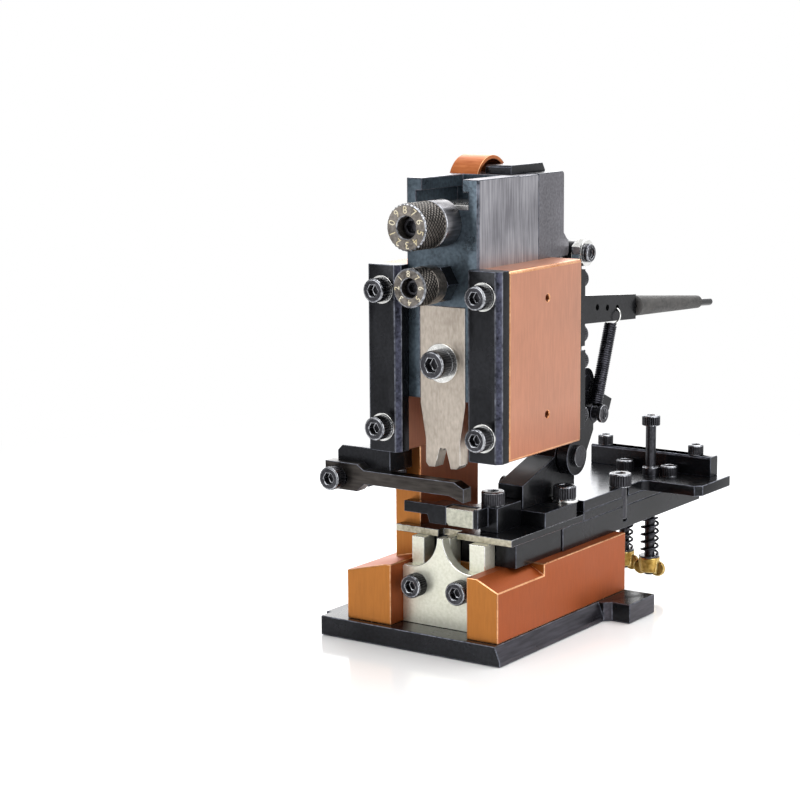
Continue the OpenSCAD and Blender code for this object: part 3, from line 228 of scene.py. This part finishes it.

# C-frame: one aluminium casting, machined all over and anodised to a copper colour:
# two rails, the bed, the left column and the head. Its front faces, the rails' fronts among them, are painted
# a gold colour: painted light where the fronts catch the lamps.
# Its edges have a bright cut chamfer, painted bright partly as bare metal and partly as a painted highlight.


def copper_skin(name, low, high, roughness):
    made = bpy.data.materials.new(name)
    made.use_nodes = True
    tree = made.node_tree
    tree.nodes.clear()
    place = add(tree, "ShaderNodeTexCoord").outputs["Object"]
    height = add(tree, "ShaderNodeSeparateXYZ", {"Vector": place}).outputs["Z"]
    # paler higher up: painted light on the lit head, deeper on the rails below
    up = add(tree, "ShaderNodeMapRange", {"Value": height, "From Min": 0.045, "From Max": 0.085})
    lit_tone = add(tree, "ShaderNodeMix", {0: up.outputs[0], 6: linear(low), 7: linear(high)}, data_type="RGBA")
    # milling leaves fine lines about 0.4 mm apart, upright on the head
    along = add(tree, "ShaderNodeMapping", {"Vector": place, "Scale": (1, 1, 0.12)}).outputs["Vector"]
    lines = add(tree, "ShaderNodeTexNoise", {"Vector": along, "Scale": 1250, "Detail": 3})
    patch = add(tree, "ShaderNodeTexNoise", {"Vector": place, "Scale": 45, "Detail": 4})
    mark = add(tree, "ShaderNodeMath", {0: lines.outputs["Fac"], 1: patch.outputs["Fac"]}, operation="ADD")
    shade = add(tree, "ShaderNodeMapRange", {"Value": mark.outputs[0], "From Min": 0.6, "From Max": 1.4,
                                             "To Min": 0.86, "To Max": 1.12})
    colour = add(tree, "ShaderNodeVectorMath", {0: lit_tone.outputs[2], 1: shade.outputs[0]},
                 operation="MULTIPLY")
    rough = add(tree, "ShaderNodeMapRange", {"Value": patch.outputs["Fac"], "From Min": 0.3, "From Max": 0.7,
                                             "To Min": roughness * 0.85, "To Max": roughness * 1.2})
    bump = add(tree, "ShaderNodeBump", {"Height": lines.outputs["Fac"], "Strength": 0.05, "Distance": 0.0002})
    shader = add(tree, "ShaderNodeBsdfPrincipled", {
        "Base Color": colour.outputs[0], "Roughness": rough.outputs[0], "Metallic": 0.7,
        "Normal": bump.outputs["Normal"]})
    add(tree, "ShaderNodeOutputMaterial", {"Surface": shader.outputs[0]})
    return made


# The colour is painted deep on the rails and paler higher up on the lit head: painted light, laid on by
# height.
copper = copper_skin("copper_anodised_aluminium", "A04E20", "BC866E", 0.42)
# the front faces get their own copy, gold low and darker high: painted light on the fronts
lit_front_copper = copper_skin("copper_anodised_aluminium_lit_front", "AC6C2E", "9A5A34", 0.38)
# Cut chamfers are painted bright copper, partly bare cut metal and partly painted highlight.
copper_edge_and_highlight = metal("cut_copper_edge_and_highlight", "C98355", "F0BE92", 0.3, 0.6, patch_mm=4)
dressed("c_frame", copper, copper_edge_and_highlight, 0.35, lit_front_copper, lambda n, c: n.y < -0.9, joined=False)

# Gibs: two ground steel plates that hold the ram in the head's way, blackened,
# with a wide front chamfer painted lighter in a fine speckle as a painted highlight.

# The chamfers are painted a lighter cold grey in a fine speckle: a painted highlight.
gib_chamfer_highlight = metal("gib_chamfer_painted_highlight", "202128", "585A6C", 0.42, 0.5, dents=0.15, patch_mm=1.6)
for gib in ("gib_left", "gib_right"):
    dressed(gib, black_oxide, rubbed_edge_and_highlight, 0.3, gib_chamfer_highlight, lambda n, c: n.y < -0.3 and abs(n.x) > 0.3)

# Gib screws and washers: four blackened cap screws on bright zinc washers, screwed into the head.

# Bright zinc is pale and almost mirror smooth.
bright_steel = metal("bright_zinc_steel", "C9C9C6", "F4F4F2", 0.18, 0.8, patch_mm=3)
dressed("gib_screws", screw_black, screw_rim_and_highlight, 0.3, screws=True)
dressed("gib_washers", bright_steel, bright_steel, 0.12)

# Ram: a steel block ground on its sides, with a blackened front and an open slot in its top
# for the press. The grinding lines on its sides run up and down.

# Ground steel is mid grey with upright lines, drawn about 0.4 mm wide so that they show.
ground = metal("ground_ram_steel", "77767C", "B8B7BD", 0.38, 0.4, stretch=(1, 1, 0.05), dents=0.06,
               patch_mm=12)
# The front is blackened, with a cold sheen.
ram_black = metal("blackened_ram_front", "343D45", "5A6873", 0.3, 0.6, metallic=0.7, patch_mm=7)
# The slot's walls are blackened too, so only the outer sides and the top are ground.
dressed("ram", ground, rubbed_edge_and_highlight, 0.3, ram_black,
        lambda n, c: n.y < -0.5 or (c.y < 3.2 or abs(c.x) < 14) and abs(n.z) < 0.5)
dressed("thrust_plate", bright_steel, bright_steel, 0.15)

# Dials: two turned steel dials, cross-knurled and blackened, with plain numbers cut round
# their faces and filled with paint. Each turns on a low screw in the ram's front.


def turned_dial(name, node, y, z, radius, length, sunk_r, sunk_l, bore, knurl, teeth):
    """A turned dial on an axis along Y, with a diamond knurl, drawn a little coarse so that it shows.

    All in mm: y is the rear face, sunk_r and sunk_l the hole for the screw's head, knurl the stretch
    from the rear face that is knurled.
    """
    lip = 0.6
    knurl_depth = 0.45
    outline = [(bore, 0), (radius - 0.4, 0), (radius, 0.4)]
    rows = 72
    outline += [(radius, 0.4 + (length - lip - 0.4) * i / rows) for i in range(1, rows)]
    outline += [(radius, length - lip), (radius - lip, length), (sunk_r + 0.3, length),
                (sunk_r, length - 0.3), (sunk_r, length - sunk_l), (bore, length - sunk_l)]
    bm = bmesh.new()
    corners = [bm.verts.new((r / 1000, (y - l) / 1000, z / 1000)) for r, l in outline]
    edges = [bm.edges.new(pair) for pair in zip(corners, corners[1:] + corners[:1])]
    bmesh.ops.spin(bm, geom=corners + edges, cent=(0, 0, z / 1000), axis=(0, 1, 0), angle=2 * pi,
                   steps=teeth * 10, use_merge=True)
    bmesh.ops.remove_doubles(bm, verts=bm.verts[:], dist=1e-7)
    bmesh.ops.recalc_face_normals(bm, faces=bm.faces[:])
    groove = bm.verts.layers.float.new("groove")
    for vert in bm.verts:
        along = y - vert.co.y * 1000
        out = Vector((vert.co.x, 0, vert.co.z - z / 1000))
        if out.length * 1000 > radius - 0.05 and knurl[0] < along < knurl[1]:
            turn = Vector((0, 1)).angle_signed(Vector((out.x, out.z)), 0) * teeth / (2 * pi)
            rise = along / (2 * pi * radius) * teeth
            cut = abs((turn + rise) % 1 - 0.5) + abs((turn - rise) % 1 - 0.5)
            vert.co -= out.normalized() * knurl_depth / 1000 * (1 - cut)
            vert[groove] = 1 - cut
    for face in bm.faces:
        from_lip = abs(y - face.calc_center_median().y * 1000 - (length - lip / 2))
        face.material_index = 1 if from_lip < lip / 2 and abs(face.normal.y) < 0.95 else 0
    piece = shown(name, bm, [dial_skin, screw_rim_and_highlight], body_of[node], 35)
    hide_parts(node)
    return piece


def numbers(name, body, words, y, z, ring, size, turn):
    """Digits round a dial's face, clockwise from the top, each standing with its head outwards."""
    bm = bmesh.new()
    for i, word in enumerate(words):
        letter = bpy.data.curves.new(name, "FONT")
        letter.body, letter.size, letter.align_x, letter.align_y = word, size / 1000, "CENTER", "CENTER"
        letter.extrude = 0.00002
        holder = bpy.data.objects.new(name, letter)
        bpy.context.scene.collection.objects.link(holder)
        flat = bpy.data.meshes.new_from_object(holder.evaluated_get(bpy.context.evaluated_depsgraph_get()))
        bpy.data.objects.remove(holder)
        angle = turn + i * 2 * pi / len(words)
        flat.transform(Matrix.Translation((0, y / 1000, z / 1000)) @ Matrix.Rotation(angle, 4, "Y")
                       @ Matrix.Translation((0, 0, ring / 1000)) @ Matrix.Rotation(pi / 2, 4, "X"))
        bm.from_mesh(flat)
        bpy.data.meshes.remove(flat)
    return shown(name, bm, [number_paint], body)


# Blackened turned steel with oil in it: warm dark grey.
dial_skin = metal("blackened_knurled_steel", "423E3A", "86807A", 0.34, 0.5, metallic=0.85, patch_mm=5)
# The knurl's grooves are darkened with painted shade; its points keep the skin's colour.
shade_knurl_grooves(dial_skin, "0C0B0B")
# Paint wiped into cut numbers is uneven, pale gold to white.
number_paint = metal("number_fill_paint", "B9A878", "F2ECD8", 0.5, 0.5, metallic=0.1, patch_mm=2.5)
turned_dial("upper_dial_made", "upper_dial", y=-11.4, z=150.7, radius=8.25, length=12.5, sunk_r=3.85,
            sunk_l=7, bore=2.7, knurl=(0.5, 11.9), teeth=30)
numbers("upper_dial_numbers", "upper_dial", "8765432109", y=-23.92, z=150.7, ring=5.85, size=3.6,
        turn=radians(-4))
# The collar is turned bare and has dulled.
collar_steel = metal("turned_collar_steel", "5C5B5E", "949397", 0.3, 0.4, stretch=(1, 0.1, 1), patch_mm=6)
dressed("upper_collar", collar_steel, screw_rim_and_highlight, 0.25)
dressed("upper_dial_screw", screw_black, black_oxide, 0.15)
turned_dial("lower_dial_made", "lower_dial", y=-8.8, z=130.0, radius=6.75, length=13.6, sunk_r=3.3,
            sunk_l=6, bore=2.2, knurl=(5.6, 13.0), teeth=25)
numbers("lower_dial_numbers", "lower_dial", "87654321", y=-22.42, z=130.0, ring=4.85, size=3.0,
        turn=radians(-3))
dressed("lower_hex", black_oxide, rubbed_edge_and_highlight, 0.2)
dressed("lower_dial_screw", screw_black, black_oxide, 0.15)

# Punch: a flat of hardened tool steel, ground and polished at its crimping notch,
# held in the ram's front recess by one cap screw on a bright washer.

# Ground tool steel is a warm pale grey, cloudy from the wheel.
tool_steel = metal("ground_tool_steel", "A0968B", "C3B9AE", 0.36, 0.5, stretch=(1, 1, 0.4), patch_mm=9)
dressed("punch", tool_steel, bright_steel, 0.1, joined=False)
dressed("punch_screw", screw_black, screw_rim_and_highlight, 0.3, screws=True)
dressed("punch_washer", bright_steel, bright_steel, 0.12)

# Cam block, top cap and arch: the blackened feed cam on the ram's rear with its two screws,
# the flat cap on the ram's top, and the bent copper strap that bridges it.
# The cam's sides are ground after blackening, to a dull mid grey.
cam_grey = metal("ground_cam_steel", "58575C", "7F7E84", 0.4, 0.5, patch_mm=10, metallic=0.9)
dressed("cam_block", black_oxide, rubbed_edge_and_highlight, 0.3, cam_grey, lambda n, c: abs(n.x) > 0.9)
dressed("cam_screws", screw_black, screw_rim_and_highlight, 0.2, screws=True)
dressed("top_cap", black_oxide, rubbed_edge_and_highlight, 0.2)
# Rolled copper alloy strip, bent cold: orange, smooth and lightly tarnished.
strap = metal("rolled_copper_strip", "AA5626", "CE7E4C", 0.34, 0.6, metallic=0.8, stretch=(0.2, 1, 1),
              patch_mm=6)
dressed("arch_strap", strap, copper_edge_and_highlight, 0.15)

# Anvils: two hardened plates stood in the gap between the rails, clamped to the base block
# by two cap screws through the front one. The front plate is pale and satin.

# Satin ground anvil steel takes a pale, faintly green cast.
anvil_steel = metal("satin_anvil_steel", "D4D4C2", "ECECDF", 0.4, 0.5, patch_mm=14, metallic=0.75)
dressed("anvil_front", anvil_steel, bright_steel, 0.2)
dressed("anvil_rear", anvil_steel, bright_steel, 0.2)
dressed("anvil_screws", screw_black, screw_rim_and_highlight, 0.3, screws=True)

# Shear: the strip plate on its support block, and the blackened holder over it with its
# bright sprung insert and clamp screw, which shear the strip beside the crimp.

# The insert is ground and left bare.
insert_steel = metal("ground_insert_steel", "9E9E90", "CFCFC0", 0.38, 0.5, patch_mm=8, metallic=0.85)
# The strip plate's front edge is cut bare and has yellowed a little.
worn_plate = metal("bare_cut_steel", "8A8474", "C8C2AE", 0.36, 0.5, patch_mm=4)
dressed("strip_plate", black_oxide, screw_rim_and_highlight, 0.15, worn_plate, lambda n, c: n.y < -0.9)
dressed("support_block", black_oxide, rubbed_edge_and_highlight, 0.25)
dressed("shear_holder", black_oxide, rubbed_edge_and_highlight, 0.25)
dressed("shear_insert", insert_steel, bright_steel, 0.2)
dressed("shear_screw", screw_black, screw_rim_and_highlight, 0.2, screws=True)

# Strip track: the long track plate, the front guide block, the two rails and the cover with
# its wing, all ground and blackened steel, bolted together with cap screws.

for plate in ("track_plate", "front_guide", "guide_rails", "rear_bar"):
    dressed(plate, black_oxide, rubbed_edge_and_highlight, 0.25)
# the cover's top faces take the painted reflection
dressed("guide_cover", black_oxide, rubbed_edge_and_highlight, 0.25, painted_top_reflection, lambda n, c: n.z > 0.9)
for held in ("track_screws", "rear_bar_screws"):
    dressed(held, screw_black, screw_rim_and_highlight, 0.25, screws=True)
dressed("track_washers", bright_steel, bright_steel, 0.12)

# Track adjusters: two long blackened studs through the track, each with an open coil spring,
# a washer and a cast brass wing nut below the track, which set the track's height and side play.


def coiled_wire(bm, centre, radius, wire, low, high, turns, sides=8, steps=20):
    """Adds a coil of round wire up the Z axis; wire is the wire's radius, and all sizes are in mm."""
    ring = bmesh.ops.create_circle(bm, segments=sides, radius=wire / 1000, cap_ends=False)["verts"]
    edges = list({e for v in ring for e in v.link_edges})
    bmesh.ops.transform(bm, verts=ring, matrix=Matrix.Translation(
        ((centre[0] + radius) / 1000, centre[1] / 1000, low / 1000)) @ Matrix.Rotation(pi / 2, 4, "X"))
    count = int(turns * steps)
    bmesh.ops.spin(bm, geom=ring + edges, cent=(centre[0] / 1000, centre[1] / 1000, 0), axis=(0, 0, 1),
                   dvec=(0, 0, (high - low) / 1000 / count), angle=2 * pi * turns, steps=count)


# Drawn spring wire, oil tempered: dark with a smooth drawn skin.
spring_wire = metal("oil_tempered_wire", "1C1C20", "4E4E55", 0.26, 0.5, patch_mm=2)
low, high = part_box("adjust_springs")
bm = bmesh.new()
for stud in ((22.5, 109.0), (9.0, 113.0)):
    coiled_wire(bm, stud, radius=3.2, wire=0.5, low=low.z * 1000 + 0.5, high=high.z * 1000 - 0.5, turns=5)
bmesh.ops.holes_fill(bm, edges=[e for e in bm.edges if e.is_boundary], sides=12)
bmesh.ops.recalc_face_normals(bm, faces=bm.faces[:])
piece = shown("adjust_springs_made", bm, [spring_wire], "frame", 50)
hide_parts("adjust_springs")
dressed("adjust_screws", screw_black, screw_rim_and_highlight, 0.25, screws=True)
dressed("adjust_washers", screw_black, screw_rim_and_highlight, 0.1)
# Cast brass, tumbled and handled: warm yellow with dull hollows.
brass = metal("cast_brass", "8E6A2E", "D9B566", 0.34, 0.7, patch_mm=2.5, dents=0.12)
# The broken edges are painted paler: partly rubbed brass, partly painted highlight.
brass_rim_and_highlight = metal("rubbed_brass_and_highlight", "C9A45A", "F3DC9A", 0.28, 0.6, patch_mm=2)
dressed("wing_nut_right", brass, brass_rim_and_highlight, 0.45)
dressed("wing_nut_left", brass, brass_rim_and_highlight, 0.45)

# Stripper: a blackened bracket on the head's left, and the thin arm that holds the wire down
# beside the punch, with their two screws.
dressed("stripper_bracket", black_oxide, rubbed_edge_and_highlight, 0.25)
# The arm is rubbed by wires to a warm dark grey.
rubbed_arm = metal("wire_rubbed_steel", "2A2726", "4C4845", 0.32, 0.5, stretch=(0.15, 1, 1), patch_mm=8)
dressed("stripper_arm", rubbed_arm, rubbed_edge_and_highlight, 0.2)
dressed("stripper_screws", screw_black, screw_rim_and_highlight, 0.25, screws=True)

# Feed linkage: the rocker's bracket behind the head, its shaft and roller arm, the cam roller on
# its bolt and bright nut, the arm down to the feed slide, and the slide's sprung finger.
for link in ("rocker_bracket", "rocker_shaft", "roller_arm", "feed_arm", "feed_slide", "feed_finger"):
    dressed(link, black_oxide, rubbed_edge_and_highlight, 0.2)
dressed("rear_screws", screw_black, screw_rim_and_highlight, 0.2, screws=True)
dressed("cam_roller", ground, screw_rim_and_highlight, 0.2)
dressed("roller_bolt", screw_black, screw_rim_and_highlight, 0.2)
dressed("roller_nut", bright_steel, bright_steel, 0.15)
dressed("feed_pins", screw_black, screw_rim_and_highlight, 0.15)

# Spring arm: a blackened steel bar fixed to the head's rear, with three holes for the spring
# and a tang that carries a tapered grip of ribbed rubber.
dressed("spring_arm", black_oxide, rubbed_edge_and_highlight, 0.2, clamp=True)
droop = radians(4.4)
low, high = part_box("arm_grip")
thick, thin, tang, rounding = 3.9, 2.5, 1.7, 0.8
run = (high.y - low.y) * 1000
outline = [(tang, 0.0), (thick - rounding, 0.0), (thick, rounding)]
ribs = 56
rib_wave = (0.0, 0.07, 0.14, 0.07)
for i in range(1, ribs * 4):
    along = rounding + (run - 2 * rounding) * i / (ribs * 4)
    outline.append((thick + (thin - thick) * along / run - rib_wave[i % 4], along))
outline += [(thin, run - rounding), (thin - rounding, run), (tang, run)]
bm = bmesh.new()
corners = [bm.verts.new((r / 1000, 0, l / 1000)) for r, l in outline]
edges = [bm.edges.new(pair) for pair in zip(corners, corners[1:] + corners[:1])]
bmesh.ops.spin(bm, geom=corners + edges, cent=(0, 0, 0), axis=(0, 0, 1), angle=2 * pi, steps=36,
               use_merge=True)
bmesh.ops.remove_doubles(bm, verts=bm.verts[:], dist=1e-7)
bmesh.ops.recalc_face_normals(bm, faces=bm.faces[:])
bmesh.ops.rotate(bm, verts=bm.verts[:], cent=(0, 0, 0), matrix=Matrix.Rotation(-pi / 2 - droop, 3, "X"))
grip_low = Vector([min(v.co[k] for v in bm.verts) for k in range(3)])
grip_high = Vector([max(v.co[k] for v in bm.verts) for k in range(3)])
bmesh.ops.translate(bm, verts=bm.verts[:], vec=(low + high) / 2 - (grip_low + grip_high) / 2)
# Moulded rubber is dull and dark, with a dusty mottle.
grip_rubber = metal("moulded_rubber", "262525", "4A4846", 0.5, 0.8, metallic=0.0, patch_mm=6)
piece = shown("arm_grip_made", bm, [grip_rubber], "frame", 60)
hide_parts("arm_grip")

# Tension spring: close-wound black wire with an eye round the feed arm's post and a bright hook
# in the spring arm's hole.
post = Vector((22.6, 64.6, 76.4))
hole = Vector((22.6, 78.6, 114.0))
pull = (hole - post).length
tilt = radians(20.4)
hook_r, eye_r, wire_r = 3.3, 2.9, 0.42
bm = bmesh.new()
coiled_wire(bm, (0, 0), radius=2.06, wire=0.43, low=eye_r, high=pull - 6.4, turns=37)
for centre_z, ring_r, across, axis in ((0.0, eye_r, "X", (1, 0, 0)), (pull - hook_r, hook_r, "Y", (0, 1, 0))):
    ring = bmesh.ops.create_circle(bm, segments=8, radius=wire_r / 1000, cap_ends=False)["verts"]
    edges = list({e for v in ring for e in v.link_edges})
    shift = Matrix.Translation((0, 0, (centre_z + ring_r) / 1000))
    bmesh.ops.transform(bm, verts=ring, matrix=shift @ Matrix.Rotation(pi / 2, 4, across))
    bmesh.ops.spin(bm, geom=ring + edges, cent=(0, 0, centre_z / 1000), axis=axis, angle=2 * pi, steps=32,
                   use_merge=True)
bmesh.ops.remove_doubles(bm, verts=bm.verts[:], dist=1e-7)
bmesh.ops.holes_fill(bm, edges=[e for e in bm.edges if e.is_boundary], sides=12)
bmesh.ops.recalc_face_normals(bm, faces=bm.faces[:])
for face in bm.faces:
    face.material_index = 1 if face.calc_center_median().z * 1000 > pull - 6.0 else 0
bmesh.ops.rotate(bm, verts=bm.verts[:], cent=(0, 0, 0), matrix=Matrix.Rotation(-tilt, 3, "X"))
bmesh.ops.translate(bm, verts=bm.verts[:], vec=post / 1000)
piece = shown("tension_spring_made", bm, [spring_wire, bright_steel], None, 50)
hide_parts("tension_spring")
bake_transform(piece)

# Studio: a pale floor that fades to the white room, a large soft light above, one on the right
# and a weak one in front. The camera stands where the photograph was taken.
floor_mesh = bpy.data.meshes.new("floor")
bm = bmesh.new()
bmesh.ops.create_circle(bm, cap_ends=True, segments=64, radius=6.0)
bmesh.ops.translate(bm, verts=bm.verts[:], vec=(0, 0, -0.0002))
bm.to_mesh(floor_mesh)
bm.free()
floor = bpy.data.objects.new("floor", floor_mesh)
bpy.context.scene.collection.objects.link(floor)
paper = bpy.data.materials.new("pale_glazed_floor")
paper.use_nodes = True
tree = paper.node_tree
tree.nodes.clear()
place = add(tree, "ShaderNodeTexCoord").outputs["Object"]
away = add(tree, "ShaderNodeVectorMath", {0: place}, operation="LENGTH").outputs["Value"]
fade = add(tree, "ShaderNodeMapRange", {"Value": away, "From Min": 0.12, "From Max": 0.45},
           interpolation_type="SMOOTHSTEP")
path = add(tree, "ShaderNodeLightPath")
seen = add(tree, "ShaderNodeMath", {0: path.outputs["Is Camera Ray"], 1: path.outputs["Is Glossy Ray"]},
           operation="MAXIMUM")
seen = add(tree, "ShaderNodeMath", {0: seen.outputs[0], 1: path.outputs["Is Transmission Ray"]},
           operation="MAXIMUM")
share = add(tree, "ShaderNodeMath", {0: seen.outputs[0], 1: fade.outputs[0]}, operation="MULTIPLY")
lit = add(tree, "ShaderNodeBsdfPrincipled", {"Base Color": linear("F4F4F4"), "Roughness": 0.12})
white = add(tree, "ShaderNodeEmission", {"Color": (1, 1, 1, 1), "Strength": 1.0})
mixed = add(tree, "ShaderNodeMixShader", {0: share.outputs[0], 1: lit.outputs[0], 2: white.outputs[0]})
add(tree, "ShaderNodeOutputMaterial", {"Surface": mixed.outputs[0]})
floor_mesh.materials.append(paper)

world = bpy.data.worlds.new("white_room")
bpy.context.scene.world = world
world.use_nodes = True
tree = world.node_tree
tree.nodes.clear()
path = add(tree, "ShaderNodeLightPath")
way = add(tree, "ShaderNodeSeparateXYZ", {"Vector": add(tree, "ShaderNodeTexCoord").outputs["Generated"]})
# the room is white behind and above, and dim in front, where the photographer stands
back_wall = add(tree, "ShaderNodeMapRange", {
    "Value": way.outputs["Y"], "From Min": -0.5, "From Max": 0.4, "To Min": 0.2, "To Max": 0.95})
ceiling = add(tree, "ShaderNodeMapRange", {
    "Value": way.outputs["Z"], "From Min": 0.2, "From Max": 0.8, "To Min": 0.0, "To Max": 0.9})
front = add(tree, "ShaderNodeMath", {0: back_wall.outputs[0], 1: ceiling.outputs[0]}, operation="MAXIMUM")
room = add(tree, "ShaderNodeBackground", {"Color": (1, 1, 1, 1), "Strength": front.outputs[0]})
plain = add(tree, "ShaderNodeBackground", {"Color": (1, 1, 1, 1), "Strength": 1.0})
pick = add(tree, "ShaderNodeMixShader", {
    0: path.outputs["Is Camera Ray"], 1: room.outputs[0], 2: plain.outputs[0]})
add(tree, "ShaderNodeOutputWorld", {"Surface": pick.outputs[0]})

for name, place, aim, size, power in (
        ("top_softbox", (0.15, 0.25, 0.85), (0.0, 0.05, 0.08), 0.8, 6.0),
        ("right_softbox", (0.8, -0.15, 0.35), (0.0, 0.05, 0.09), 0.6, 3.0),
        ("back_softbox", (-0.45, 0.8, 0.45), (0.0, 0.05, 0.08), 0.8, 4.5),
        ("front_fill", (-0.25, -0.8, 0.35), (0.0, 0.0, 0.09), 0.5, 2.5)):
    lamp = bpy.data.lights.new(name, "AREA")
    lamp.shape, lamp.size, lamp.energy = "SQUARE", size, power
    holder = bpy.data.objects.new(name, lamp)
    holder.location = place
    holder.rotation_euler = (Vector(aim) - Vector(place)).to_track_quat("-Z", "Y").to_euler()
    bpy.context.scene.collection.objects.link(holder)

# the camera's place, turn and lens were fitted to the edges of the machine in the photograph
lens = bpy.data.cameras.new("camera")
lens.lens, lens.sensor_width = 98.009, 36
camera = bpy.data.objects.new("camera", lens)
turn, rise, roll = radians(34.9597), radians(9.6954), radians(-0.40899)
back = Vector((sin(turn) * cos(rise), -cos(turn) * cos(rise), sin(rise)))
right = Vector((cos(turn), sin(turn), 0))
up = back.cross(right)
across = right * cos(roll) + up * sin(roll)
over = up * cos(roll) - right * sin(roll)
camera.matrix_world = Matrix(((across.x, over.x, back.x, 0.41764), (across.y, over.y, back.y, -0.62546),
                              (across.z, over.z, back.z, 0.21701), (0, 0, 0, 1)))
bpy.context.scene.collection.objects.link(camera)
bpy.context.scene.camera = camera
bpy.context.scene.view_settings.view_transform = "Standard"
